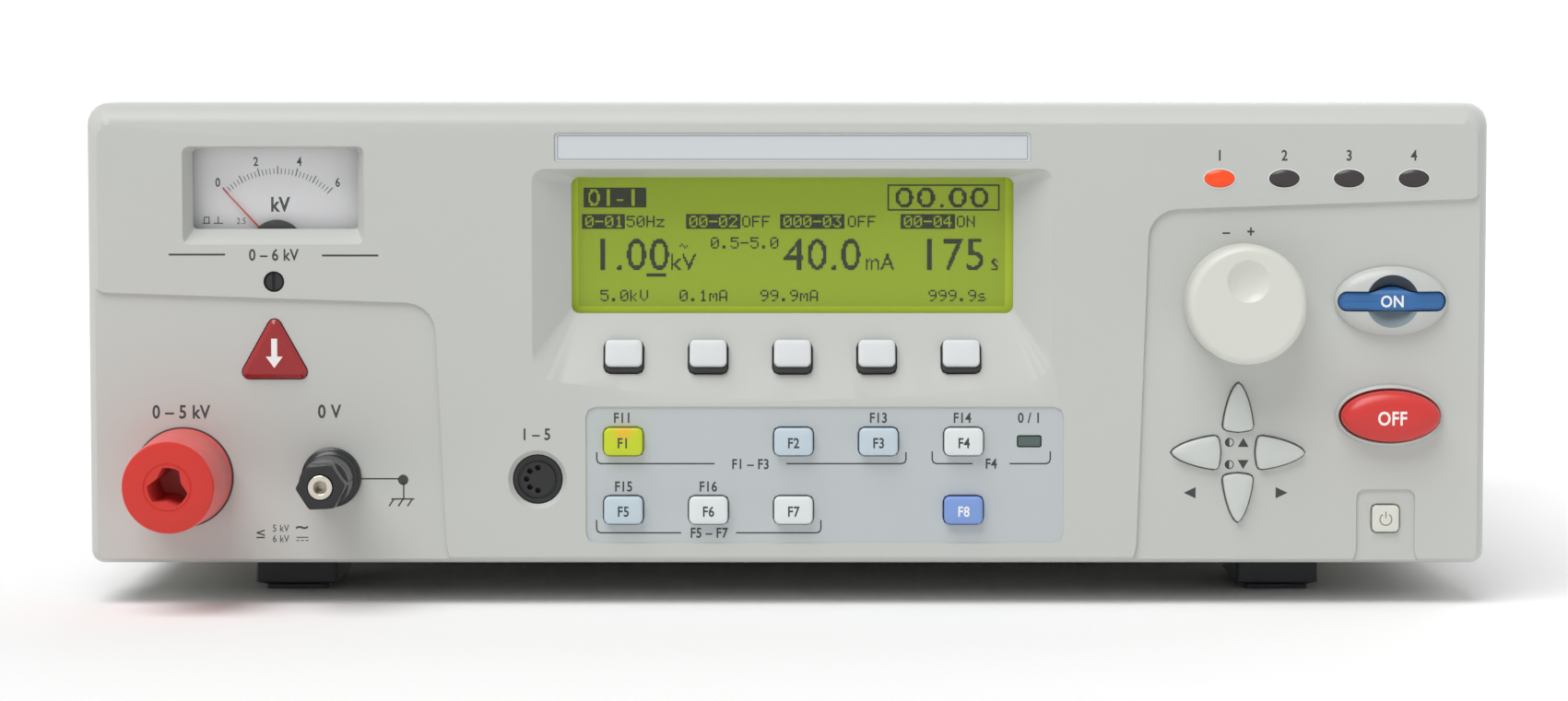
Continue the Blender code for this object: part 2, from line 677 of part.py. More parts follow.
def front_bezel():
    """The moulded front: a hollow shell with its rolled edge, then pan, collar, bosses and openings."""
    full = case_outline(0.0)
    bezel = stacked("front_bezel", rounded_front(0.0) + [(FACE_Y + BEZEL_DEPTH, full)], "bezel_plastic")
    behind = FACE_Y + BEZEL_DEPTH + PAST
    cut(bezel, stacked("bezel_hollow", rounded_front(WALL) + [(behind, case_outline(WALL))], "helper"))
    rim = COVER_INSET - GAP
    half, low, high = BEZEL_WIDTH / 2 - rim, PANEL_BOTTOM + rim, PANEL_TOP - rim
    round_top = COVER_CORNER + GAP
    seat = [(-half, low, 0), (half, low, 0), (half, high, round_top), (-half, high, round_top)]
    cut(bezel, prism("cover_seat", outline(seat), CASE_START - GAP, behind))

    back = PAN_DEPTH + PAN_WALL
    start = WALL - 0.001
    shell = [
        (FACE_Y + start, pan_outline(start, PAN_WALL)), (FACE_Y + back, pan_outline(PAN_DEPTH, PAN_WALL))
    ]
    join(bezel, stacked("pan_shell", shell, "helper"))
    collar = rectangle(METER_RECESS_WIDTH + 2 * PAN_WALL, METER_RECESS_HEIGHT + 2 * PAN_WALL, 0.003)
    join(bezel, place(prism("meter_collar", collar, start, METER_BACK), METER_X, 0, METER_RECESS_Z))
    for number, (x, z) in enumerate(board_bosses()):
        boss = turned(
            f"board_boss_{number}", [(start, BOSS_RADIUS), (KEY_BOARD_DEPTH - GAP, BOSS_RADIUS)], count=12
        )
        join(bezel, place(boss, x, 0, z))
    for number, (x, z) in enumerate(lcd_bosses()):
        boss = turned(
            f"lcd_boss_{number}", [(start, BOSS_RADIUS), (lcd_board_depth() - GAP, BOSS_RADIUS)], count=12
        )
        join(bezel, place(boss, x, 0, z))
    for number, side in enumerate((-1.5, 1.5)):
        boss = turned(f"soft_boss_{number}", [(0.001, 0.002), (SOFT_BOARD_DEPTH - GAP, 0.002)], count=10)
        depth = SOFT_KEY_RISE * math.tan(APRON_ANGLE)
        place(boss, DISPLAY_X + side * SOFT_KEY_PITCH, depth, PAN_BOTTOM + SOFT_KEY_RISE)
        boss.rotation_euler.x = -APRON_ANGLE
        join(bezel, boss)

    layers = [(FACE_Y + depth, pan_outline(depth)) for depth in (-0.002, PAN_DEPTH)]
    layers.append((FACE_Y + back + PAST, pan_outline(PAN_DEPTH)))
    cut(bezel, stacked("pan_hollow", layers, "helper"))
    for side, width, height in (
        (-1, LEFT_FIELD_WIDTH, LEFT_FIELD_HEIGHT), (1, RIGHT_FIELD_WIDTH, RIGHT_FIELD_HEIGHT)
    ):
        field = field_outline(side, width, height)
        cut(bezel, prism(f"field_{side}", field, FACE_Y - PAST, FACE_Y + FIELD_SUNK))
    half, high = POWER_FIELD_WIDTH / 2, POWER_FIELD_HEIGHT
    power = [(-half - 0.003, -PAST, 0), (half + 0.003, -PAST, 0), (half, 0.004, 0.004)]
    power += [(half, high, 0.0026), (-half, high, 0.0026), (-half, 0.004, 0.004)]
    tool = prism("power_field", outline(power), -PAST, FIELD_SUNK + POWER_FIELD_SUNK)
    cut(bezel, place(tool, POWER_X, 0, PANEL_BOTTOM))
    strip = rectangle(STRIP_WIDTH, STRIP_HEIGHT, 0.001)
    cut(bezel, place(prism("name_strip", strip, -PAST, STRIP_SUNK), DISPLAY_X, 0, STRIP_Z))
    keys = rectangle(KEY_FIELD_WIDTH, KEY_FIELD_HEIGHT, 0.003)
    middle = KEY_FIELD_Z + KEY_FIELD_HEIGHT / 2
    cut(bezel, place(prism("key_field", keys, -PAST, KEY_FIELD_SUNK), KEY_FIELD_X, 0, middle))

    drop = METER_RECESS_Z - METER_WINDOW_Z
    layers = []
    for share in (-0.3, 1.0):
        width = METER_RECESS_WIDTH + (METER_WINDOW_WIDTH - METER_RECESS_WIDTH) * share
        height = METER_RECESS_HEIGHT + (METER_WINDOW_HEIGHT - METER_RECESS_HEIGHT) * share
        layers.append(
            (METER_RECESS_DEPTH * share, rectangle(width, height, 0.0019 - 0.0009 * share, z=-drop * share))
        )
    layers.append((METER_BACK + PAST, layers[-1][1]))
    cut(bezel, place(stacked("meter_funnel", layers, "helper"), METER_X, 0, METER_RECESS_Z))
    panel_hole(bezel, "adjuster", circle(ADJUSTER_RADIUS, 20), METER_X, 0, ADJUSTER_Z)

    for name, x, z, _ in key_places():
        panel_hole(bezel, name, rectangle(KEY_WIDTH, KEY_HEIGHT, KEY_CORNER), x, 0, z)
    for name, x, depth, z in soft_key_places():
        points = rectangle(SOFT_KEY_WIDTH, SOFT_KEY_HEIGHT, KEY_CORNER)
        panel_hole(bezel, name, points, x, depth, z, -APRON_ANGLE)
    for name in ARROWS:
        panel_hole(bezel, name, arrow_outline(name), ARROWS_X, 0, ARROWS_Z)
    for number in range(4):
        x = STATUS_X + STATUS_PITCH * (number - 1.5)
        panel_hole(
            bezel, f"status_{number}", ellipse(STATUS_WIDTH / 2, STATUS_HEIGHT / 2, 18), x, 0, STATUS_Z
        )
    lens = rectangle(REMOTE_LENS_WIDTH, REMOTE_LENS_HEIGHT, 0.0004)
    panel_hole(bezel, "remote_lens", lens, REMOTE_LENS_X, 0, KEY_FIELD_Z + UPPER_ROW)
    panel_hole(bezel, "lamp", lamp_outline(), METER_X, 0, LAMP_Z)
    panel_hole(bezel, "hv", circle(HV_NECK_RADIUS, 32), HV_X, 0, TERMINAL_Z)
    panel_hole(bezel, "low", circle(LOW_NECK_RADIUS, 24), LOW_X, 0, TERMINAL_Z)
    ring = [(-0.001, SOCKET_RING_RADIUS + 0.0007), (SOCKET_SUNK - 0.0004, SOCKET_RADIUS + GAP)]
    ring.append((WALL + PAST, SOCKET_RADIUS + GAP))
    cut(bezel, place(turned("socket_ring", ring, count=32), SOCKET_X, 0, SOCKET_Z))
    panel_hole(bezel, "bushing", circle(BUSHING_RADIUS, 20), KNOB_X, 0, KNOB_Z)
    spigot = ellipse(START_SEMI_WIDTH - START_SPIGOT + 0.0008, START_SEMI_HEIGHT - START_SPIGOT, 28)
    panel_hole(bezel, "start", spigot, START_X, 0, START_Z)
    spigot = ellipse(STOP_SEMI_WIDTH - 0.0006, STOP_SEMI_HEIGHT - 0.0008, 28)
    panel_hole(bezel, "stop", spigot, STOP_X, 0, STOP_Z)
    panel_hole(bezel, "power", rectangle(POWER_SIZE, POWER_SIZE, 0.0015), POWER_X, 0, POWER_Z)


def lcd_bosses():
    across = LCD_BOARD_WIDTH / 2 - BOSS_RADIUS - 0.0005
    up = LCD_BOARD_HEIGHT / 2 - BOSS_RADIUS - 0.0005
    return [(DISPLAY_X + side * across, lcd_centre() + end * up) for side in (-1, 1) for end in (-1, 1)]


def press_key(name, points, reach, through, stub, finish):
    """A key: domed cap, a flange behind the panel that keeps it in, and a stub towards its switch."""
    layers = [
        (-reach, offset(points, -0.0006)),
        (-reach + 0.0006, points),
        (through + GAP, points),
        (through + GAP, offset(points, KEY_FLANGE)),
        (through + GAP + 0.001, offset(points, KEY_FLANGE)),
        (through + GAP + 0.001, shrink(points, 0.5)),
        (stub, shrink(points, 0.5)),
    ]
    return stacked(name, layers, finish)


def function_keys():
    stub = KEY_BOARD_DEPTH - 0.003
    points = rectangle(KEY_WIDTH, KEY_HEIGHT, KEY_CORNER)
    for name, x, z, finish in key_places():
        place(press_key(name, points, KEY_REACH, WALL, stub, finish), x, 0, z)


def soft_keys():
    """The keys on the apron, tilted with it, so that they travel square to it."""
    points = rectangle(SOFT_KEY_WIDTH, SOFT_KEY_HEIGHT, KEY_CORNER)
    for name, x, depth, z in soft_key_places():
        key = press_key(name, points, SOFT_KEY_REACH, PAN_WALL, SOFT_BOARD_DEPTH - 0.003, "white_keys")
        place(key, x, depth, z).rotation_euler.x = -APRON_ANGLE


def arrow_keys():
    for name in ARROWS:
        key = press_key(
            name,
            arrow_outline(name),
            KEY_REACH,
            FIELD_BACK,
            KEY_BOARD_DEPTH - FIELD_SUNK - 0.003,
            "white_keys",
        )
        place(key, ARROWS_X, FIELD_SUNK, ARROWS_Z)


def power_button():
    points = rectangle(POWER_SIZE, POWER_SIZE, 0.0015)
    sunk = FIELD_SUNK + POWER_FIELD_SUNK
    key = press_key(
        "power_button", points, 0.0016, WALL - sunk, KEY_BOARD_DEPTH - sunk - 0.003, "white_keys"
    )
    place(key, POWER_X, sunk, POWER_Z)


def key_board():
    """The board behind the face, with a switch under each key, the lamps' light sources and its notch."""
    back = FACE_Y + KEY_BOARD_DEPTH
    board = prism("key_board", board_outline(), back, back + BOARD, "board_green")
    low = 0.0013

    def part(name, x, z, width, height, front):
        join(
            board,
            block(
                name,
                (x - width / 2, x + width / 2),
                (back - front, back + BOARD / 2),
                (z - height / 2, z + height / 2),
            ),
        )

    for name, x, z, _ in key_places():
        part(name + "_switch", x, z, SWITCH_SIZE, SWITCH_SIZE, 0.003 - low)
    for name in ARROWS:
        points = arrow_outline(name)
        x = ARROWS_X + sum(p.x for p in points) / len(points)
        z = ARROWS_Z + sum(p.y for p in points) / len(points)
        part(name + "_switch", x, z, SWITCH_SIZE, SWITCH_SIZE, 0.003 - low)
    part("power_switch", POWER_X, POWER_Z, SWITCH_SIZE, SWITCH_SIZE, 0.003 - low)
    part("start_switch", START_X, START_Z, SWITCH_SIZE, SWITCH_SIZE, 0.0012)
    part("stop_switch", STOP_X, STOP_Z, SWITCH_SIZE, SWITCH_SIZE, 0.0012)
    for number in range(4):
        part(
            f"status_source_{number}",
            STATUS_X + STATUS_PITCH * (number - 1.5),
            STATUS_Z,
            0.003,
            0.002,
            0.003,
        )


def soft_key_board():
    """A strip board behind the apron and parallel to it, with a switch under each soft key."""
    length = 4 * SOFT_KEY_PITCH + SOFT_KEY_WIDTH + 0.004
    points = rectangle(length, SOFT_BOARD_HEIGHT, 0.0005, steps=1)
    board = prism("soft_key_board", points, SOFT_BOARD_DEPTH, SOFT_BOARD_DEPTH + BOARD, "board_green")
    for name, x, depth, z in soft_key_places():
        local = x - DISPLAY_X
        half = SWITCH_SIZE / 2
        front = SOFT_BOARD_DEPTH - 0.0017
        switch = block(
            name + "_switch",
            (local - half, local + half),
            (front, SOFT_BOARD_DEPTH + BOARD / 2),
            (-half, half),
        )
        place(switch, DISPLAY_X, depth, z).rotation_euler.x = -APRON_ANGLE
        join(board, switch)
    place(board, DISPLAY_X, depth, z).rotation_euler.x = -APRON_ANGLE


def display():
    """The clear window behind the pan's opening, and the LCD module on its board."""
    width, height = LCD_OPENING_WIDTH + 2 * LCD_OVERLAP, LCD_OPENING_HEIGHT + 2 * LCD_OVERLAP
    front = PAN_DEPTH + PAN_WALL + GAP
    sheet = prism(
        "lcd_window", rectangle(width, height, 0.0015), front, front + LCD_WINDOW_THICKNESS, "clear_lens"
    )
    place(sheet, DISPLAY_X, 0, lcd_centre())
    start = front + LCD_WINDOW_THICKNESS + GAP
    board = lcd_board_depth()
    layers = [(start, rectangle(width, height, 0.001)), (board, rectangle(width, height, 0.001))]
    layers += [(board, rectangle(LCD_BOARD_WIDTH, LCD_BOARD_HEIGHT, 0.001))]
    layers += [(board + BOARD, rectangle(LCD_BOARD_WIDTH, LCD_BOARD_HEIGHT, 0.001))]
    place(stacked("lcd_module", layers, "lcd_green"), DISPLAY_X, 0, lcd_centre())


def meter():
    """The moving-coil meter: an open case with its dial, a glass, the pointer and the zero adjuster."""
    front = METER_BACK + GAP
    wall = METER_CASE_WALL
    top = METER_WINDOW_Z + METER_WINDOW_HEIGHT / 2 + 0.001
    floor = PIVOT_Z - 0.0055
    low = ADJUSTER_Z - ADJUSTER_RADIUS - 0.002
    width = METER_WINDOW_WIDTH + 0.002
    middle = (top + floor) / 2
    outer = rectangle(width + 2 * wall, top + wall - low, 0.0015, z=(top + wall + low) / 2)
    case = prism("meter_case", outer, front, front + METER_CASE_DEPTH, "black_plastic")
    hollow = rectangle(width, top - floor, 0.001, z=middle)
    dial_back = front + METER_DIAL_DEPTH
    cavity = prism("meter_hollow", hollow, front - PAST, dial_back)
    cut(case, cavity)
    glass = rectangle(width - 2 * GAP, top - floor - 2 * GAP, 0.0007, z=middle)
    sheet = prism("meter_window", glass, front + GAP, front + GAP + METER_GLASS, "clear_lens")
    dial = prism("meter_dial", glass, dial_back - GAP - 0.0008, dial_back - GAP, "dial_white")
    dial_front = dial_back - GAP - 0.0008
    for piece in (case, cavity, sheet, dial):
        piece.location = (METER_X, FACE_Y, 0)

    blade = [Vector((-POINTER_WIDTH / 2, 0)), Vector((-0.0006, -0.0045)), Vector((0.0006, -0.0045))]
    blade += [
        Vector((POINTER_WIDTH / 2, 0)),
        Vector((POINTER_WIDTH / 4, POINTER_LENGTH)),
        Vector((-POINTER_WIDTH / 4, POINTER_LENGTH)),
    ]
    blade_depth = dial_front - 0.0018
    pointer = prism(
        "meter_pointer", turn_outline(blade, POINTER_REST), blade_depth, blade_depth + 0.0003, "pointer_red"
    )
    hub = turned("pointer_hub", [(blade_depth - 0.0006, 0.0016), (dial_front - GAP, 0.0016)], count=16)
    join(pointer, hub)
    for piece in (pointer, hub):
        place(piece, METER_X, 0, PIVOT_Z)

    profile = [
        (0.0006, ADJUSTER_RADIUS - 0.0003), (0.0009, ADJUSTER_RADIUS), (front - GAP, ADJUSTER_RADIUS)
    ]
    screw = turned("zero_adjuster", profile, "black_plastic", count=20)
    slot = block("adjuster_slot", (-0.0005, 0.0005), (-PAST, 0.0016), (-PAST, PAST))
    cut(screw, place(slot, METER_X, 0, ADJUSTER_Z))
    place(screw, METER_X, 0, ADJUSTER_Z)


def lamps():
    """Four oval bosses on one clear bar, the rectangular remote lens and the triangular danger lens."""
    back = WALL + GAP
    half = 1.5 * STATUS_PITCH + STATUS_WIDTH / 2 + 0.002
    bar = prism(
        "status_lens_bar",
        rectangle(2 * half, STATUS_HEIGHT + 0.004, 0.001),
        back,
        back + 0.0025,
        "smoke_lens",
    )
    for number in range(4):
        points = ellipse(STATUS_WIDTH / 2, STATUS_HEIGHT / 2, 18)
        layers = [(-0.0009, offset(points, -0.0010)), (-0.0004, points), (back + 0.001, points)]
        lens = stacked(f"status_lens_{number}", layers, "helper")
        join(bar, place(lens, STATUS_X + STATUS_PITCH * (number - 1.5), 0, STATUS_Z))
    place(bar, STATUS_X, 0, STATUS_Z)
    points = rectangle(REMOTE_LENS_WIDTH, REMOTE_LENS_HEIGHT, 0.0004, steps=2)
    layers = [
        (0.0006, offset(points, -0.0002)), (0.0008, points), (back, points), (back, offset(points, 0.001))
    ]
    layers.append((back + 0.0012, offset(points, 0.001)))
    place(stacked("remote_lens", layers, "smoke_lens"), REMOTE_LENS_X, 0, KEY_FIELD_Z + UPPER_ROW)
    points = lamp_outline()
    behind = FIELD_BACK + GAP
    layers = [(-LENS_PROUD, offset(points, -0.0009)), (-LENS_PROUD + 0.0003, offset(points, -0.0003))]
    layers += [(-LENS_PROUD + 0.0009, points), (behind, points), (behind, offset(points, 0.0012))]
    layers.append((behind + 0.0015, offset(points, 0.0012)))
    place(stacked("danger_lamp", layers, "lamp_red"), METER_X, FIELD_SUNK, LAMP_Z)


def socket_star(scale=1.0):
    """The high voltage socket's mouth: three square pockets, and hollow flanks between them."""
    points = []
    for number in range(3):
        middle = math.radians(-40 + 120 * number)
        for turn in (-24, 24):
            angle = middle + math.radians(turn)
            points.append(scale * HV_SOCKET_REACH * Vector((math.cos(angle), math.sin(angle))))
        for turn, radius in ((44, 0.0049), (60, HV_SOCKET_WAIST), (76, 0.0049)):
            angle = middle + math.radians(turn)
            points.append(scale * radius * Vector((math.cos(angle), math.sin(angle))))
    return points


def terminals():
    """The red high voltage socket, and the low terminal: moulded base, metal stud and hexagon cap."""
    taper = (HV_BASE_RADIUS - HV_FACE_RADIUS) / HV_LENGTH
    profile = [
        (-HV_LENGTH, HV_FACE_RADIUS - 0.0004),
        (-HV_LENGTH + 0.0004, HV_FACE_RADIUS),
        (-0.0030, HV_BASE_RADIUS - 0.003 * taper),
        (-GAP, HV_BASE_RADIUS),
        (-GAP, HV_NECK_RADIUS),
        (0.014, HV_NECK_RADIUS),
    ]
    socket = turned("hv_terminal", profile, "terminal_red", count=32)
    front, floor = -HV_LENGTH, -HV_LENGTH + HV_SOCKET_DEPTH
    star = stacked("hv_star", [(front - PAST, socket_star()), (floor, socket_star(0.9))], "helper")
    cut(socket, place(star, HV_X, FIELD_SUNK, TERMINAL_Z))
    place(socket, HV_X, FIELD_SUNK, TERMINAL_Z)

    cap_back = -LOW_LENGTH + 0.0004 + LOW_CAP_LENGTH
    bore = STUD_RADIUS + GAP
    profile = [
        (cap_back + GAP, LOW_BODY_RADIUS - 0.0008),
        (cap_back + GAP + 0.0008, LOW_BODY_RADIUS),
        (-0.0052, LOW_BODY_RADIUS),
        (-0.0044, LOW_FLANGE_RADIUS - 0.0008),
        (-0.0020, LOW_FLANGE_RADIUS - 0.0008),
        (-0.0014, LOW_FLANGE_RADIUS),
        (-GAP, LOW_FLANGE_RADIUS),
        (-GAP, LOW_NECK_RADIUS),
        (0.009, LOW_NECK_RADIUS),
        (0.009, bore),
        (cap_back + GAP, bore),
    ]
    place(turned("low_terminal_base", profile, "black_plastic", looped=True), LOW_X, FIELD_SUNK, TERMINAL_Z)

    tube = [(-LOW_LENGTH, STUD_RADIUS), (0.013, STUD_RADIUS), (0.013, STUD_BORE * 0.5)]
    tube += [
        (-LOW_LENGTH + STUD_BORE_DEPTH, STUD_BORE * 0.5),
        (-LOW_LENGTH + STUD_BORE_DEPTH, STUD_BORE),
        (-LOW_LENGTH, STUD_BORE),
    ]
    place(turned("low_terminal_stud", tube, "turned_metal", looped=True), LOW_X, FIELD_SUNK, TERMINAL_Z)

    flats = LOW_CAP_FLATS / 2
    front = -LOW_LENGTH + 0.0004
    profile = [(front, flats * 1.08), (front + 0.0006, flats * 1.155), (front + 0.0105, flats * 1.155)]
    profile += [
        (front + 0.0115, flats * 1.155),
        (cap_back - 0.0008, flats * 1.155),
        (cap_back, flats * 1.06),
        (cap_back, bore),
        (front, bore),
    ]
    cap = turned("low_terminal_cap", profile, "black_plastic", count=24, looped=True)
    ring = circle(0.012, 24)
    hexagon = turn_outline(circle(0.5 * LOW_CAP_FLATS / math.cos(math.pi / 6), 6), math.radians(3))
    mantle = prism("cap_mantle", ring, front - PAST, front + 0.0105)
    cut(
        mantle,
        place(
            prism("cap_hexagon", hexagon, front - 2 * PAST, front + 0.0105 + PAST),
            LOW_X,
            FIELD_SUNK,
            TERMINAL_Z,
        ),
    )
    cut(cap, place(mantle, LOW_X, FIELD_SUNK, TERMINAL_Z))
    place(cap, LOW_X, FIELD_SUNK, TERMINAL_Z)


def remote_socket():
    """A five-pin round socket: its face is sunk in the moulded ring, and its flange is behind the panel."""
    profile = [
        (SOCKET_SUNK, SOCKET_RADIUS), (WALL + GAP, SOCKET_RADIUS), (WALL + GAP, SOCKET_RADIUS + 0.003)
    ]
    profile += [
        (WALL + GAP + 0.002, SOCKET_RADIUS + 0.003),
        (WALL + GAP + 0.002, SOCKET_RADIUS),
        (0.014, SOCKET_RADIUS),
    ]
    socket = turned("remote_socket", profile, "black_plastic", count=24)
    groove = [
        (SOCKET_SUNK - PAST, 0.0062),
        (SOCKET_SUNK + 0.0012, 0.0062),
        (SOCKET_SUNK + 0.0012, 0.0054),
        (SOCKET_SUNK - PAST, 0.0054),
    ]
    cut(socket, place(turned("socket_groove", groove, count=24, looped=True), SOCKET_X, 0, SOCKET_Z))
    for number in range(5):
        angle = math.radians(90 + 45 * number)
        x, z = SOCKET_PIN_CIRCLE * math.cos(angle), SOCKET_PIN_CIRCLE * math.sin(angle)
        pin = turned(
            f"socket_pin_{number}",
            [(SOCKET_SUNK - PAST, SOCKET_PIN_RADIUS), (0.009, SOCKET_PIN_RADIUS)],
            count=9,
        )
        cut(socket, place(pin, SOCKET_X + x, 0, SOCKET_Z + z))
    place(socket, SOCKET_X, 0, SOCKET_Z)


def knob():
    """The entry knob, a hollow turned cap with a hub, its shaft and the encoder that holds the shaft."""
    bore = SHAFT_RADIUS + GAP
    front = -KNOB_LENGTH
    inner = KNOB_RADIUS - KNOB_WALL
    profile = [
        (front, KNOB_RADIUS - 0.0036),
        (front + 0.0004, KNOB_RADIUS - 0.0019),
        (front + 0.0016, KNOB_RADIUS - 0.0008),
        (front + 0.0036, KNOB_RADIUS - 0.0004),
        (-0.0012, KNOB_RADIUS),
        (-0.0005, KNOB_RADIUS - 0.0003),
        (-0.0005, inner),
        (front + 0.0045, inner),
        (front + 0.0045, SHAFT_RADIUS + KNOB_WALL),
        (-BUSHING_LENGTH - 0.0005, SHAFT_RADIUS + KNOB_WALL),
        (-BUSHING_LENGTH - 0.0005, bore),
        (front + 0.0045, bore),
    ]
    cap = turned("entry_knob", profile, "knob_plastic", count=32)
    dome = (KNOB_DIMPLE_RADIUS**2 + KNOB_DIMPLE_DEPTH**2) / (2 * KNOB_DIMPLE_DEPTH)
    rim = math.asin(KNOB_DIMPLE_RADIUS / dome) * 1.1
    steps = 5
    angles = [rim * (1 - step / steps) for step in range(steps)]
    dish = [(front - dome * (math.cos(a) - math.cos(rim / 1.1)), dome * math.sin(a)) for a in angles]
    dish = [(2 * front - y, r) for y, r in dish]
    x, z = KNOB_X, KNOB_Z + KNOB_DIMPLE_OFFSET
    cut(cap, place(turned("knob_dimple", dish, count=22), x, FIELD_SUNK, z))
    place(cap, KNOB_X, FIELD_SUNK, KNOB_Z)

    end = FIELD_BACK - 0.0005
    shaft = turned(
        "encoder_shaft",
        [(front + 0.0045 + GAP, SHAFT_RADIUS), (end, SHAFT_RADIUS)],
        "turned_metal",
        count=20,
    )
    place(shaft, KNOB_X, FIELD_SUNK, KNOB_Z)
    board = KEY_BOARD_DEPTH - FIELD_SUNK
    body = prism(
        "encoder_body",
        rectangle(ENCODER_SIZE, ENCODER_SIZE, 0.001),
        FIELD_BACK + GAP,
        board - GAP,
        "core_steel",
    )
    join(
        body,
        turned(
            "encoder_bushing",
            [(-BUSHING_LENGTH, BUSHING_RADIUS), (FIELD_BACK + 0.002, BUSHING_RADIUS)],
            count=20,
        ),
    )
    cut(body, turned("encoder_bore", [(-BUSHING_LENGTH - PAST, bore), (end + GAP, bore)], count=20))
    for piece in (body, bpy.data.objects["encoder_bushing"], bpy.data.objects["encoder_bore"]):
        place(piece, KNOB_X, FIELD_SUNK, KNOB_Z)


def start_control():
    """The start control: a crowned oval ring with a finger well, and the blue bar that crosses it."""
    layers = []
    for share in (1.0, 0.985, 0.93, 0.84, 0.70, 0.45):
        rise = START_CROWN * math.sqrt(1 - share**4)
        layers.append((-GAP - rise, ellipse(START_SEMI_WIDTH * share, START_SEMI_HEIGHT * share, 28)))
    layers.reverse()
    spigot = ellipse(START_SEMI_WIDTH - START_SPIGOT + 0.0008, START_SEMI_HEIGHT - START_SPIGOT, 28)
    layers += [(-GAP, spigot), (0.005, spigot)]
    ring = stacked("start_ring", layers, "bezel_plastic")
    cut(ring, place(prism("start_slot", bar_outline(GAP), -0.01, 0.01), START_X, FIELD_SUNK, START_Z))
    sphere = (START_WELL_RADIUS**2 + START_WELL_DEPTH**2) / (2 * START_WELL_DEPTH)
    rim = 0.81 * START_CROWN
    centre = -GAP - rim + START_WELL_DEPTH - sphere
    steps = 9
    angles = [math.pi * (0.55 - 0.53 * step / steps) for step in range(steps + 1)]
    profile = [(centre + sphere * math.cos(a), sphere * math.sin(a)) for a in angles]
    profile.insert(0, (-0.012, profile[0][1]))
    cut(ring, place(turned("start_well", profile, count=26), START_X, FIELD_SUNK, START_Z))
    place(ring, START_X, FIELD_SUNK, START_Z)

    crown = []
    half = START_BAR_WIDTH / 2 + PAST
    for step in range(13):
        across = -half + 2 * half * step / 12
        share = min(1.0, abs(across) / START_SEMI_WIDTH)
        crown.append(Vector((across, 0.0006 - START_CROWN * 0.92 * math.sqrt(1 - share**4))))
    over = [Vector((-half, -0.012))] + [Vector((half, -0.012))] + crown[::-1]
    layers = [(-0.006, bar_outline()), (0.005 + GAP, bar_outline()), (0.005 + GAP, bar_outline(0.001))]
    layers += [(0.005 + GAP + 0.001, bar_outline(0.001))]
    bar = stacked("start_button", layers, "start_blue")
    cut(bar, place(prism("start_crown", over, -0.01, 0.01, axis="Z"), START_X, FIELD_SUNK, START_Z))
    place(bar, START_X, FIELD_SUNK, START_Z)


def stop_control():
    """The stop control: a low oval cup and the domed red button that travels in it."""
    flange = ellipse(STOP_SEMI_WIDTH, STOP_SEMI_HEIGHT, 28)
    spigot = ellipse(STOP_SEMI_WIDTH - 0.0006, STOP_SEMI_HEIGHT - 0.0008, 28)
    mouth = ellipse(STOP_SEMI_WIDTH - STOP_LIP, STOP_SEMI_HEIGHT - STOP_LIP - 0.0003, 28)
    stem = ellipse(0.0105, 0.0045, 28)
    layers = [
        (-0.0024, offset(mouth, 0.0003)),
        (-0.0016, offset(flange, -0.0002)),
        (-GAP, flange),
        (-GAP, spigot),
        (0.0034, spigot),
        (0.0034, offset(stem, GAP)),
        (0.0021, offset(stem, GAP)),
        (0.0021, mouth),
    ]
    place(stacked("stop_ring", layers, "bezel_plastic", looped=True), STOP_X, FIELD_SUNK, STOP_Z)
    head = offset(mouth, -GAP)
    layers = []
    for angle in (80, 60, 40, 20, 5):
        inset = 0.0045 * (1 - math.cos(math.radians(angle)))
        rise = 0.0035 * math.sin(math.radians(angle))
        layers.append((-STOP_REACH + 0.0035 - rise, offset(head, -inset)))
    end = 0.0034 + GAP
    layers += [(0.0021 - GAP - STOP_TRAVEL, head), (0.0021 - GAP - STOP_TRAVEL, stem), (end, stem)]
    layers += [
        (end, offset(stem, 0.001)), (end + 0.001, offset(stem, 0.001)), (end + 0.001, offset(stem, -0.002))
    ]
    layers.append((end + 0.0015, offset(stem, -0.002)))
    place(stacked("stop_button", layers, "stop_red"), STOP_X, FIELD_SUNK, STOP_Z)


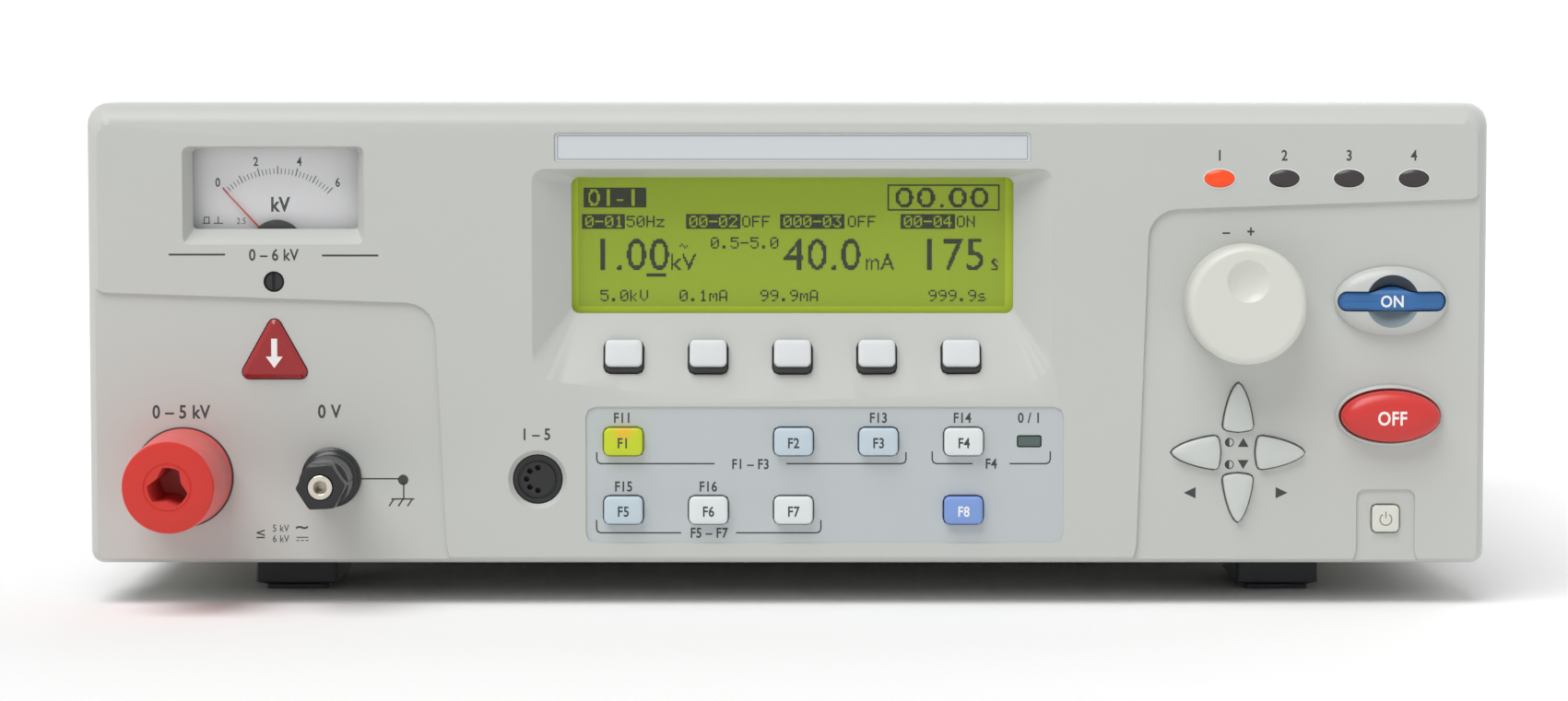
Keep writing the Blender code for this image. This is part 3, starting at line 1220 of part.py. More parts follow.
def case():
    """The bent cover, thinned where it tucks into the bezel, the tray under it and the rear panel."""
    low, high = CASE_BOTTOM, CASE_TOP
    bend = COVER_CORNER
    outer = outline(
        [(CASE_HALF, low, 0), (CASE_HALF, high, bend), (-CASE_HALF, high, bend), (-CASE_HALF, low, 0)], 5
    )
    half, under = CASE_HALF - SHEET, high - SHEET
    inner = outline(
        [(-half, low, 0), (-half, under, bend - SHEET), (half, under, bend - SHEET), (half, low, 0)], 5
    )
    cover = prism("top_cover", outer + inner, CASE_START, REAR_Y, "painted_steel")
    step = FACE_Y + BEZEL_DEPTH + GAP
    wide, up = CASE_HALF - TONGUE, high - TONGUE
    core = outline([(-wide, low - PAST, 0), (wide, low - PAST, 0), (wide, up, bend), (-wide, up, bend)], 5)
    around = [(-CASE_HALF - PAST, low - 2 * PAST), (CASE_HALF + PAST, low - 2 * PAST)]
    around += [(CASE_HALF + PAST, high + PAST), (-CASE_HALF - PAST, high + PAST)]
    mantle = prism("tongue_mantle", [Vector(p) for p in around], CASE_START - PAST, step)
    cut(mantle, prism("tongue_core", core, CASE_START - 2 * PAST, step + PAST))
    cut(cover, mantle)
    middle = (low + high) / 2
    for number in range(SLOT_COUNT):
        y = REAR_Y - 0.050 - SLOT_PITCH * number
        slot = rectangle(SLOT_WIDTH, SLOT_HEIGHT, x=y, z=middle)
        cut(cover, prism(f"side_slot_{number}", slot, -BEZEL_WIDTH, BEZEL_WIDTH, axis="X"))

    lip = TRAY_TOP + TRAY_LIP
    half = TRAY_HALF
    inside = half - SHEET
    tray_points = [(-half, low), (half, low), (half, lip), (inside, lip)]
    tray_points += [(inside, TRAY_TOP), (-inside, TRAY_TOP), (-inside, lip), (-half, lip)]
    back = REAR_PANEL_Y - SHEET - GAP
    tray = prism("chassis_base", [Vector(p) for p in tray_points], CASE_START, back, "zinc_steel")
    for number, (x, y) in enumerate(standoffs()):
        post = prism(
            f"standoff_{number}",
            circle(0.003, 10, x, y),
            CASE_BOTTOM + SHEET / 2,
            TRAY_TOP + STANDOFF,
            axis="Z",
        )
        join(tray, post)
    for number in range(9):
        y = TRANSFORMER_Y - TRANSFORMER_LENGTH / 2 - 0.014 - 0.008 * number
        slot = rectangle(0.060, SLOT_WIDTH, 0.001, TRANSFORMER_X, y, steps=1)
        if y > CASE_START + 0.055:
            cut(tray, prism(f"tray_slot_{number}", slot, 0.0, TRAY_TOP + PAST, axis="Z"))

    top = under - GAP
    bottom = low + GAP
    flange = 0.012
    edge = TRAY_HALF - SHEET - GAP
    corners = [
        (-TRAY_HALF, low, 0),
        (TRAY_HALF, low, 0),
        (TRAY_HALF, top, bend - SHEET),
        (-TRAY_HALF, top, bend - SHEET),
    ]
    panel = prism("rear_panel", outline(corners), REAR_PANEL_Y - SHEET, REAR_PANEL_Y, "painted_steel")
    lift = lip + GAP
    for side in (-1, 1):
        across = sorted((side * edge, side * (edge - SHEET)))
        ear = block(
            f"panel_ear_{side}",
            across,
            (REAR_PANEL_Y - flange, REAR_PANEL_Y - SHEET / 2),
            (lift, top - 0.004),
        )
        join(panel, ear)
    fan_z = FAN_Z
    rows = 9
    for number in range(rows):
        rise = 0.008 * (number - (rows - 1) / 2)
        half = math.sqrt((FAN_BORE - 0.001) ** 2 - rise**2) - 0.002
        slot = rectangle(2 * half, 0.0042, 0.0015, FAN_X, fan_z + rise, steps=1)
        cut(panel, prism(f"grille_slot_{number}", slot, REAR_PANEL_Y - 0.01, REAR_PANEL_Y + 0.01))
    inlet = rectangle(INLET_WIDTH + 2 * GAP, INLET_TALL + 2 * GAP, 0.001, INLET_X, INLET_Z)
    cut(panel, prism("inlet_cutout", inlet, REAR_PANEL_Y - 0.01, REAR_PANEL_Y + 0.01))
    plug = rectangle(CONNECTOR_WIDTH + 2 * GAP, 0.0125 + 2 * GAP, 0.001, CONNECTOR_X, CONNECTOR_Z)
    cut(panel, prism("connector_cutout", plug, REAR_PANEL_Y - 0.01, REAR_PANEL_Y + 0.01))
    cut(
        panel,
        prism(
            "earth_hole",
            circle(0.0035 + GAP, 16, EARTH_X, INLET_Z),
            REAR_PANEL_Y - 0.01,
            REAR_PANEL_Y + 0.01,
        ),
    )


TRANSFORMER_Y = FACE_Y + TRANSFORMER_DEPTH
FAN_Z = (CASE_BOTTOM + CASE_TOP) / 2
INLET_Z = CASE_BOTTOM + INLET_HEIGHT
CONNECTOR_Z = CASE_BOTTOM + CONNECTOR_HEIGHT
BOARD_Z = TRAY_TOP + STANDOFF + GAP
BOARD_START = FACE_Y + MAIN_BOARD_DEPTH


def standoffs():
    """Where the tray carries the main board."""
    inset = 0.006
    left, right = MAIN_BOARD_X - MAIN_BOARD_WIDTH / 2 + inset, MAIN_BOARD_X + MAIN_BOARD_WIDTH / 2 - inset
    near, far = BOARD_START + inset, BOARD_START + MAIN_BOARD_LENGTH - inset
    return [(x, y) for x in (left, MAIN_BOARD_X, right) for y in (near, far)]


def feet():
    """Four moulded feet. The front pair is forked at the back to hold a tilt leg on its pin."""
    top = CASE_BOTTOM - GAP
    for place_name, start, length in (
        ("front", FACE_Y + FRONT_FOOT_DEPTH, FRONT_FOOT_LENGTH),
        ("rear", REAR_Y - REAR_FOOT_MARGIN - REAR_FOOT_LENGTH, REAR_FOOT_LENGTH),
    ):
        for side_name, side in (("left", -1), ("right", 1)):
            x, y = side * FOOT_FROM_MIDDLE, start + length / 2
            layers = [(0.0, rectangle(FOOT_WIDTH - 0.006, length - 0.006, 0.002, x, y))]
            layers += [(0.0014, rectangle(FOOT_WIDTH - 0.006, length - 0.006, 0.002, x, y))]
            layers += [
                (0.0024, rectangle(FOOT_WIDTH, length, 0.002, x, y)),
                (top, rectangle(FOOT_WIDTH, length, 0.002, x, y)),
            ]
            foot = stacked(f"foot_{place_name}_{side_name}", layers, "black_plastic", axis="Z")
            if place_name == "rear":
                continue
            back = start + length
            fork = (leg_pin()[0] - LEG_THICKNESS / 2 - GAP, back + PAST)
            cut(
                foot,
                block(
                    f"leg_pocket_{side_name}",
                    (x - LEG_WIDTH / 2 - GAP, x + LEG_WIDTH / 2 + GAP),
                    fork,
                    (-PAST, top - 0.002),
                ),
            )
            pin_y, pin_z = leg_pin()
            hole = circle(LEG_PIN_RADIUS + GAP, 12, pin_y, pin_z)
            reach = FOOT_WIDTH / 2 - 0.0015
            cut(foot, prism(f"leg_bore_{side_name}", hole, x - reach, x + reach, axis="X"))
            tilt_leg(side_name, x)


def leg_pin():
    """The tilt leg's pin: its place along and up."""
    top = CASE_BOTTOM - GAP
    back = FACE_Y + FRONT_FOOT_DEPTH + FRONT_FOOT_LENGTH
    return back - LEG_LENGTH + LEG_THICKNESS / 2 - 0.001, top - 0.002 - GAP - LEG_THICKNESS / 2 - 0.0008


def tilt_leg(side_name, x):
    """A flat leg with a round root, a pin through the root and a finger lip at its free end."""
    pin_y, pin_z = leg_pin()
    half = LEG_THICKNESS / 2
    end = pin_y + LEG_LENGTH - 0.005
    angles = [math.radians(degrees) for degrees in range(90, 271, 30)]
    side = [(pin_y + half * math.cos(a), pin_z + half * math.sin(a)) for a in angles]
    side += [
        (end - 0.004, pin_z - half),
        (end - 0.003, pin_z - half - 0.0015),
        (end, pin_z - half - 0.0015),
        (end, pin_z + half),
    ]
    leg = prism(
        f"tilt_leg_{side_name}",
        [Vector(p) for p in side],
        x - LEG_WIDTH / 2,
        x + LEG_WIDTH / 2,
        "black_plastic",
        axis="X",
    )
    reach = FOOT_WIDTH / 2 - 0.0015 - GAP
    join(
        leg,
        prism(
            f"leg_pin_{side_name}", circle(LEG_PIN_RADIUS, 12, pin_y, pin_z), x - reach, x + reach, axis="X"
        ),
    )


def inside():
    """The main board, the high voltage transformer and the finned heat sink on the tray and board."""
    x, length = MAIN_BOARD_X, MAIN_BOARD_LENGTH
    half = MAIN_BOARD_WIDTH / 2
    board = block(
        "main_board",
        (x - half, x + half),
        (BOARD_START, BOARD_START + length),
        (BOARD_Z, BOARD_Z + BOARD),
        "board_green",
    )
    for number in range(3):
        centre = (x - half + 0.030 + 0.032 * number, BOARD_START + 0.035)
        can = prism(
            f"capacitor_{number}",
            circle(0.0125, 16, *centre),
            BOARD_Z + BOARD / 2,
            BOARD_Z + 0.035,
            axis="Z",
        )
        join(board, can)
    for number in range(4):
        left = x - half + 0.018 + 0.024 * number
        row = BOARD_START + RELAY_ROW
        across = (left, left + RELAY_WIDTH)
        relay = block(
            f"relay_{number}",
            across,
            (row, row + RELAY_LENGTH),
            (BOARD_Z + BOARD / 2, BOARD_Z + RELAY_HEIGHT),
        )
        join(board, relay)

    half = TRANSFORMER_WIDTH / 2
    y, deep, tall = TRANSFORMER_Y, TRANSFORMER_LENGTH, TRANSFORMER_HEIGHT
    base = TRAY_TOP + GAP
    core_half = deep * 0.22
    core = block(
        "hv_transformer",
        (TRANSFORMER_X - half, TRANSFORMER_X + half),
        (y - core_half, y + core_half),
        (base, base + tall),
        "core_steel",
    )
    coil = rectangle(half * 1.3, deep, 0.010, TRANSFORMER_X, y, steps=4)
    join(core, prism("winding", coil, base + tall * 0.18, base + tall * 0.82, axis="Z"))
    for side in (-1, 1):
        foot = block(
            f"core_foot_{side}",
            sorted((TRANSFORMER_X + side * (half - 0.012), TRANSFORMER_X + side * (half + 0.010))),
            (y - core_half - 0.004, y + core_half + 0.004),
            (base, base + 0.002),
        )
        join(core, foot)

    left = MAIN_BOARD_X + MAIN_BOARD_WIDTH / 2 - SINK_WIDTH - 0.006
    start = BOARD_START + SINK_START
    base = BOARD_Z + BOARD + GAP
    plate = 0.005
    points = [(left, base), (left + SINK_WIDTH, base)]
    pitch = (SINK_WIDTH - 0.002) / (SINK_FINS - 1)
    for number in reversed(range(SINK_FINS)):
        fin = left + pitch * number
        points += [(fin + 0.002, base + SINK_HEIGHT), (fin, base + SINK_HEIGHT)]
        if number:
            points += [(fin, base + plate), (fin - pitch + 0.002, base + plate)]
    prism("heat_sink", [Vector(p) for p in points], start, start + SINK_LENGTH, "sink_aluminium")


def fan():
    """The rear fan: a square frame with its motor carried by struts, and the rotor on its pin."""
    back = REAR_PANEL_Y - SHEET - GAP
    front = back - FAN_THICKNESS
    frame = prism(
        "fan_frame", rectangle(FAN_SIZE, FAN_SIZE, 0.004, FAN_X, FAN_Z), front, back, "black_plastic"
    )
    cut(frame, prism("fan_bore", circle(FAN_BORE, 28, FAN_X, FAN_Z), front - PAST, back + PAST))
    for number in range(3):
        strut = rectangle(0.004, FAN_BORE + 0.002, 0.001, 0.0, (FAN_BORE + 0.002) / 2, steps=1)
        turned_points = turn_outline(strut, math.radians(30 + 120 * number))
        moved = [Vector((FAN_X + p.x, FAN_Z + p.y)) for p in turned_points]
        join(frame, prism(f"fan_strut_{number}", moved, back - 0.004, back))
    join(frame, prism("fan_motor", circle(FAN_HUB, 24, FAN_X, FAN_Z), back - 0.0045, back - 0.0001))
    cut(frame, prism("fan_bearing", circle(0.002 + GAP, 12, FAN_X, FAN_Z), back - 0.01, back - 0.0015))
    corner = FAN_SIZE / 2 - 0.0043
    for number in range(4):
        x, z = FAN_X + corner * (-1) ** number, FAN_Z + corner * (-1) ** (number // 2)
        cut(frame, prism(f"fan_screw_{number}", circle(0.0021, 10, x, z), front - PAST, back + PAST))

    tip = FAN_BORE - 0.0015
    thick = math.radians(6)
    layers = []
    steps = 4
    deep = FAN_THICKNESS - 0.0045 - 0.0025
    for step in range(steps + 1):
        lean = math.radians(34) * step / steps
        points = []
        for blade in range(FAN_BLADES):
            middle = math.tau * blade / FAN_BLADES + lean
            root = thick * tip / FAN_HUB * 0.55
            for radius, turn in ((FAN_HUB, -root), (tip, -thick / 2), (tip, thick / 2), (FAN_HUB, root)):
                points.append(radius * Vector((math.cos(middle + turn), math.sin(middle + turn))))
            gap = math.tau / FAN_BLADES - 2 * root
            for share in (0.33, 0.67):
                angle = middle + root + gap * share
                points.append(FAN_HUB * Vector((math.cos(angle), math.sin(angle))))
        layers.append((0.002 + deep * step / steps, points))
    rotor = stacked("fan_rotor", layers, "black_plastic")
    join(rotor, turned("rotor_pin", [(0.004, 0.002), (FAN_THICKNESS - 0.0015 - GAP, 0.002)], count=12))
    for piece in (rotor, bpy.data.objects["rotor_pin"]):
        piece.location = (FAN_X, front, FAN_Z)


def rear_sockets():
    """The appliance inlet, the interface connector and the protective earth post."""
    face = REAR_PANEL_Y + GAP
    flange = rectangle(0.050, 0.0225, 0.004, INLET_X, INLET_Z)
    body = rectangle(INLET_WIDTH, INLET_TALL, 0.001, INLET_X, INLET_Z)
    layers = [(face + 0.0025, flange), (face, flange), (face, body), (face - 0.020, body)]
    inlet = stacked("power_inlet", layers, "black_plastic")
    half, low, high = 0.0122, -0.0080, 0.0080
    mouth = [
        (-half, low, 0.001), (half, low, 0.001), (half, high - 0.004, 0.001), (half - 0.004, high, 0.001)
    ]
    mouth += [(-half + 0.004, high, 0.001), (-half, high - 0.004, 0.001)]
    points = [Vector((INLET_X + p.x, INLET_Z + p.y)) for p in outline(mouth, 2)]
    cut(inlet, prism("inlet_mouth", points, face - 0.016, face + 0.01))
    for number, (x, z) in enumerate(((-0.007, -0.001), (0.007, -0.001), (0.0, 0.003))):
        pin = rectangle(0.002, 0.004, 0.0005, INLET_X + x, INLET_Z + z, steps=1)
        join(inlet, prism(f"inlet_pin_{number}", pin, face - 0.017, face - 0.003))

    width, tall = CONNECTOR_WIDTH, 0.0125
    plate = rectangle(width + 0.018, tall + 0.003, 0.002, CONNECTOR_X, CONNECTOR_Z)
    shell = rectangle(width, tall, 0.001, CONNECTOR_X, CONNECTOR_Z)
    nose = [(-width / 2 + 0.002, tall / 2 - 0.001, 0.002), (-width / 2 + 0.004, -tall / 2 + 0.001, 0.002)]
    nose += [(width / 2 - 0.004, -tall / 2 + 0.001, 0.002), (width / 2 - 0.002, tall / 2 - 0.001, 0.002)]
    nose = [Vector((CONNECTOR_X + p.x, CONNECTOR_Z + p.y)) for p in outline(nose, 2)]
    layers = [(face + 0.0015, plate), (face, plate), (face, shell), (face - 0.010, shell)]
    plug = stacked("interface_connector", layers, "sink_aluminium")
    join(plug, prism("connector_nose", nose, face - 0.001, face + 0.0075))
    cut(plug, prism("connector_mouth", offset_towards(nose, -0.0008), face + 0.0005, face + 0.02))
    join(
        plug,
        block(
            "connector_tongue",
            (CONNECTOR_X - width / 2 + 0.007, CONNECTOR_X + width / 2 - 0.007),
            (face - 0.001, face + 0.0065),
            (CONNECTOR_Z - 0.0016, CONNECTOR_Z + 0.0016),
        ),
    )

    end = EARTH_REACH
    profile = [
        (end, 0.0016),
        (end - 0.0006, 0.002),
        (0.0065, 0.002),
        (0.0065, 0.0045),
        (0.0035, 0.0045),
        (0.0035, 0.006),
        (GAP, 0.006),
        (GAP, 0.0035),
        (-SHEET - 0.006, 0.0035),
    ]
    post = turned("earth_post", profile[::-1], "turned_metal", count=18)
    post.location = (EARTH_X, REAR_PANEL_Y, INLET_Z)


def offset_towards(points, distance):
    """An outline that may run either way, moved out by a distance, or in by a negative one."""
    area = sum(a.x * b.y - b.x * a.y for a, b in zip(points, points[1:] + points[:1]))
    return offset(points, distance if area > 0 else -distance)


for old in list(bpy.data.objects):
    bpy.data.objects.remove(old)
front_bezel()
case()
feet()
function_keys()
soft_keys()
arrow_keys()
power_button()
knob()
start_control()
stop_control()
meter()
lamps()
terminals()
remote_socket()
display()
key_board()
soft_key_board()
inside()
fan()
rear_sockets()
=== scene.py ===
"""The looks of a bench hipot tester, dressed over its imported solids. Metres, the front faces -Y."""

import json
import math

import bmesh
import bpy
import numpy as np
from mathutils import Matrix, Vector


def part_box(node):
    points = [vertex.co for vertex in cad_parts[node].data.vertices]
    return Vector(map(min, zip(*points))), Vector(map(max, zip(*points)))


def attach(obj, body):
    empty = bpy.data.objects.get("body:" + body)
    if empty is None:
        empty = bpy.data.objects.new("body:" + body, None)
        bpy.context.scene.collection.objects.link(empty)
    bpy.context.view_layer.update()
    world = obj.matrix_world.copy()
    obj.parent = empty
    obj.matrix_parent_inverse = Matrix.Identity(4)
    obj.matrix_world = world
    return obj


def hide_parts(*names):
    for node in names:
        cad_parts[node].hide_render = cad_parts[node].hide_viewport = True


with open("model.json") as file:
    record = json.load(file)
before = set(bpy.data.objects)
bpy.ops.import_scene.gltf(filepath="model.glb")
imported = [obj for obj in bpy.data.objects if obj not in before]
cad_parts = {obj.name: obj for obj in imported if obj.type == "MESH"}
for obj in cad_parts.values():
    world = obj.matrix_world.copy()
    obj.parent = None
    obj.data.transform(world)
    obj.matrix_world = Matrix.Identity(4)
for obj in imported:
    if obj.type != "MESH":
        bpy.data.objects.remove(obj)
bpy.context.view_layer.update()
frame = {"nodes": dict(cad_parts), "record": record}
nodes = frame["nodes"]

# The studio: a white bench top in even white air, a broad lamp high at the front left and a weak one behind.
# The camera stands 1.3 m in front of the face, a little above the top of the case, and looks slightly down.
face_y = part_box("front_bezel")[0].y
panel_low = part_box("front_bezel")[0].z
camera_distance = 1.300
camera_height = 0.165
aim_height = 0.0787
picture_width = 0.4806
camera_x = -0.001
camera = bpy.data.objects.new("photo_camera", bpy.data.cameras.new("photo_camera"))
bpy.context.scene.collection.objects.link(camera)
drop = camera_height - aim_height
camera.location = (camera_x, face_y - camera_distance, camera_height)
camera.rotation_euler = (math.pi / 2 - math.atan2(drop, camera_distance), 0, 0)
camera.data.lens = camera.data.sensor_width * math.hypot(camera_distance, drop) / picture_width
camera.data.clip_start = 0.01
bpy.context.scene.camera = camera
bpy.context.scene.view_settings.view_transform = "Standard"

for lamp_name, direction, strength, spread in (
    ("front_lamp", (0.28, 0.42, -0.90), 2.05, 45),
    ("rear_lamp", (-0.40, -0.80, -0.45), 0.80, 60),
):
    lamp = bpy.data.objects.new(lamp_name, bpy.data.lights.new(lamp_name, "SUN"))
    bpy.context.scene.collection.objects.link(lamp)
    lamp.data.energy = strength
    lamp.data.angle = math.radians(spread)
    lamp.rotation_euler = Vector(direction).to_track_quat("-Z", "Y").to_euler()

air = bpy.data.worlds.new("white_air")
bpy.context.scene.world = air
air.use_nodes = True
links = air.node_tree.links
glow = air.node_tree.nodes["Background"]
glow.inputs["Color"].default_value = (1, 1, 1, 1)
# The camera, gloss and glass see white air. What lights the things is 0.36 of it.
path = air.node_tree.nodes.new("ShaderNodeLightPath")
direct = path.outputs["Is Camera Ray"]
for ray in ("Is Glossy Ray", "Is Transmission Ray"):
    either = air.node_tree.nodes.new("ShaderNodeMath")
    either.operation = "MAXIMUM"
    links.new(direct, either.inputs[0])
    links.new(path.outputs[ray], either.inputs[1])
    direct = either.outputs[0]
level = air.node_tree.nodes.new("ShaderNodeMapRange")
level.inputs["To Min"].default_value = 0.36
level.inputs["To Max"].default_value = 1.0
links.new(direct, level.inputs["Value"])
links.new(level.outputs[0], glow.inputs["Strength"])


def tint(code):
    """Linear colour of a six-digit screen colour."""
    parts = np.array([int(code[i : i + 2], 16) / 255 for i in (0, 2, 4)])
    linear = np.where(parts <= 0.04045, parts / 12.92, ((parts + 0.055) / 1.055) ** 2.4)
    return tuple(float(v) for v in linear)


def finish(
    name, code, roughness=0.45, metallic=0.0, grain=1400.0, relief=1e-5, mottle=0.03, edge=0.0, lit=0.0,
    shine=0.5,
):
    """A Principled finish on Object coordinates.

    A broad noise shifts the colour by the mottle share and a middling one the roughness. A fine one raises
    the grain by the relief. Where edge is set, a Bevel node rounds edges in the shading by that radius. A
    lit finish gives off its own colour at that strength, and the shine is the level of its reflection.
    """
    made = bpy.data.materials.new(name)
    made.use_nodes = True
    tree = made.node_tree
    shader = tree.nodes["Principled BSDF"]
    place = tree.nodes.new("ShaderNodeTexCoord")
    place.name = "place"

    def noise(scale, detail):
        field = tree.nodes.new("ShaderNodeTexNoise")
        field.inputs["Scale"].default_value = scale
        field.inputs["Detail"].default_value = detail
        tree.links.new(place.outputs["Object"], field.inputs["Vector"])
        return field.outputs["Fac"]

    colour = np.array(tint(code))
    mix = tree.nodes.new("ShaderNodeMix")
    mix.data_type = "RGBA"
    mix.inputs["A"].default_value = (*np.clip(colour * (1 - mottle), 0, 1), 1)
    mix.inputs["B"].default_value = (*np.clip(colour * (1 + mottle), 0, 1), 1)
    tree.links.new(noise(24.0, 4.0), mix.inputs["Factor"])
    tree.links.new(mix.outputs["Result"], shader.inputs["Base Color"])
    gloss = tree.nodes.new("ShaderNodeMapRange")
    gloss.inputs["To Min"].default_value = roughness - 0.05
    gloss.inputs["To Max"].default_value = roughness + 0.05
    tree.links.new(noise(160.0, 3.0), gloss.inputs["Value"])
    tree.links.new(gloss.outputs["Result"], shader.inputs["Roughness"])
    bump = tree.nodes.new("ShaderNodeBump")
    bump.inputs["Distance"].default_value = relief
    tree.links.new(noise(grain, 2.0), bump.inputs["Height"])
    if edge:
        soft = tree.nodes.new("ShaderNodeBevel")
        soft.samples = 4
        soft.inputs["Radius"].default_value = edge
        tree.links.new(soft.outputs["Normal"], bump.inputs["Normal"])
    tree.links.new(bump.outputs["Normal"], shader.inputs["Normal"])
    shader.inputs["Metallic"].default_value = metallic
    shader.inputs["Specular IOR Level"].default_value = shine
    if lit:
        shader.inputs["Emission Color"].default_value = (*colour, 1)
        shader.inputs["Emission Strength"].default_value = lit
    made.diffuse_color = (*colour, 1)
    return made


floor_mesh = bpy.data.meshes.new("bench_top")
floor_mesh.from_pydata([(-9, -4, 0), (9, -4, 0), (9, 14, 0), (-9, 14, 0)], [], [(0, 1, 2, 3)])
floor_mesh.materials.append(finish("bench_white", "FCFCFC", 0.8, grain=300.0, mottle=0.004))
floor = bpy.data.objects.new("bench_top", floor_mesh)
bpy.context.scene.collection.objects.link(floor)


# The front bezel: one moulding in light warm grey ABS with a fine spark-eroded grain, hooked over the case.
# The key field and the name strip are films of a bluer shade, stuck in shallow sinks. The strip is bare.
def points_of(mesh):
    """The points of a mesh, one row each."""
    flat = np.empty(len(mesh.vertices) * 3, np.float32)
    mesh.vertices.foreach_get("co", flat)
    return flat.reshape(-1, 3)


def smoothed(mesh, turn):
    """Shades a mesh smooth where its faces turn by less than `turn` degrees."""
    mesh.shade_smooth()
    mesh.set_sharp_from_angle(angle=math.radians(turn))


def added(name, mesh, material, body):
    """The object of a finished mesh, riding on a body."""
    mesh.materials.append(material)
    piece = bpy.data.objects.new(name, mesh)
    bpy.context.scene.collection.objects.link(piece)
    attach(piece, body)
    return piece


def softened(node, material, body="case", turn=32):
    """A merged copy of a CAD node stands for it, smooth where faces turn by less than `turn` degrees."""
    source = nodes[node].data
    source.calc_loop_triangles()
    corners = np.empty(len(source.loop_triangles) * 3, np.int32)
    source.loop_triangles.foreach_get("vertices", corners)
    points, index = np.unique(np.round(points_of(source), 6), axis=0, return_inverse=True)
    faces = index.reshape(-1)[corners].reshape(-1, 3)
    first, second, third = faces.T
    faces = faces[(first != second) & (second != third) & (third != first)]
    mesh = bpy.data.meshes.new(node + "_shell")
    mesh.from_pydata(points.tolist(), [], faces.tolist())
    smoothed(mesh, turn)
    shell = added(node + "_shell", mesh, material, body)
    weighted = shell.modifiers.new("weighted", "WEIGHTED_NORMAL")
    weighted.keep_sharp = True
    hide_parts(node)


def reckoned(made, operation, first, second, third=None):
    """A Math node's output. Each input is a number or another node's output."""
    step = made.node_tree.nodes.new("ShaderNodeMath")
    step.operation = operation
    for socket, value in zip(step.inputs, (first, second, third)):
        if isinstance(value, bpy.types.NodeSocket):
            made.node_tree.links.new(value, socket)
        elif value is not None:
            socket.default_value = value
    return step.outputs[0]


def along(made, axis):
    """A place's coordinate on one axis, as a node's output."""
    axes = made.node_tree.nodes.new("ShaderNodeSeparateXYZ")
    made.node_tree.links.new(made.node_tree.nodes["place"].outputs["Object"], axes.inputs[0])
    return axes.outputs[axis]


def shaded_to(made, code, factor):
    """Mixes a finish's colour towards another by a factor, which is a node's output."""
    tree = made.node_tree
    shader = tree.nodes["Principled BSDF"]
    mix = tree.nodes.new("ShaderNodeMix")
    mix.data_type = "RGBA"
    mix.inputs["B"].default_value = (*tint(code), 1)
    tree.links.new(factor, mix.inputs["Factor"])
    tree.links.new(shader.inputs["Base Color"].links[0].from_socket, mix.inputs["A"])
    tree.links.new(mix.outputs["Result"], shader.inputs["Base Color"])


def film(made, code, centre, half, back):
    """Gives a finish the colour of a film where |x - cx| < hx, |z - cz| < hz and y < back."""
    inside = reckoned(made, "LESS_THAN", along(made, "Y"), back)
    for axis, middle, reach in zip("XZ", centre, half):
        within = reckoned(made, "COMPARE", along(made, axis), middle, reach)
        inside = reckoned(made, "MULTIPLY", inside, within)
    shaded_to(made, code, inside)


key_field = (0.0115, panel_low + 0.0278)
strip_x, strip_z = 0.0016, panel_low + 0.1284
bezel_grey = finish("bezel_grey", "C6C8C4", 0.47, grain=2600.0, relief=1.2e-5, mottle=0.012, edge=0.0004)
film(bezel_grey, "BFC5C7", key_field, (0.0730, 0.0207), face_y + 0.0006)
film(bezel_grey, "D2D8DB", (strip_x, strip_z), (0.0725, 0.0042), face_y + 0.0008)
softened("front_bezel", bezel_grey)


# The case: a bent steel cover, powder-coated in light grey with a fine orange peel, over a zinc-plated tray.
# The rear panel is coated as the cover is. Four moulded feet carry it, the front two with folded tilt legs.
case_grey = finish("case_grey", "CDCFCC", 0.5, grain=900.0, relief=3e-5, mottle=0.02, edge=0.0004)
softened("top_cover", case_grey, turn=20)
softened("rear_panel", case_grey)
zinc = finish("zinc_plate", "B9B8B0", 0.38, 0.85, grain=500.0, mottle=0.10, edge=0.0003)
softened("chassis_base", zinc)

foot_black = finish("foot_black", "24262C", 0.5, grain=1500.0, relief=2e-5, mottle=0.08, edge=0.0005)
for side in ("left", "right"):
    softened("foot_front_" + side, foot_black)
    softened("foot_rear_" + side, foot_black)
    softened("tilt_leg_" + side, foot_black, "tilt_leg_" + side)


# The function keys: moulded caps with a slightly domed top, a flange behind the panel and a stub inside.
# Most are near white or pale blue, the lit one is yellow-green with a painted orange glow near its top, and
# the shift key blue. Ink numbers them.
def middle_of(node):
    """The middle (x, z) of a node's box."""
    low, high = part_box(node)
    return (low.x + high.x) / 2, (low.z + high.z) / 2


def outline_of(corners, steps=8):
    """Corners (x, z, radius), anticlockwise, joined by straight lines and arcs, as an array of points."""
    points = []
    for index, (x, z, radius) in enumerate(corners):
        corner = np.array((x, z))
        before = np.array(corners[index - 1][:2]) - corner
        after = np.array(corners[(index + 1) % len(corners)][:2]) - corner
        before, after = before / np.linalg.norm(before), after / np.linalg.norm(after)
        half = math.acos(np.clip(before @ after, -1, 1)) / 2
        middle = (before + after) / np.linalg.norm(before + after)
        centre = corner + middle * radius / math.sin(half)
        first = corner + before * radius / math.tan(half) - centre
        last = corner + after * radius / math.tan(half) - centre
        start = math.atan2(first[1], first[0])
        sweep = (math.atan2(last[1], last[0]) - start + math.pi) % math.tau - math.pi
        angles = start + sweep * np.linspace(0, 1, steps + 1)
        points.append(centre + radius * np.column_stack((np.cos(angles), np.sin(angles))))
    return np.concatenate(points)


def panel(width, height, radius, steps=8):
    """A rectangle with round corners about its middle."""
    half, rise = width / 2, height / 2
    corners = [(-half, -rise, radius), (half, -rise, radius), (half, rise, radius), (-half, rise, radius)]
    return outline_of(corners, steps)


def oval(semi_width, semi_height, count=72):
    """An ellipse about its middle."""
    angles = np.linspace(0, math.tau, count, endpoint=False)
    return np.column_stack((semi_width * np.cos(angles), semi_height * np.sin(angles)))


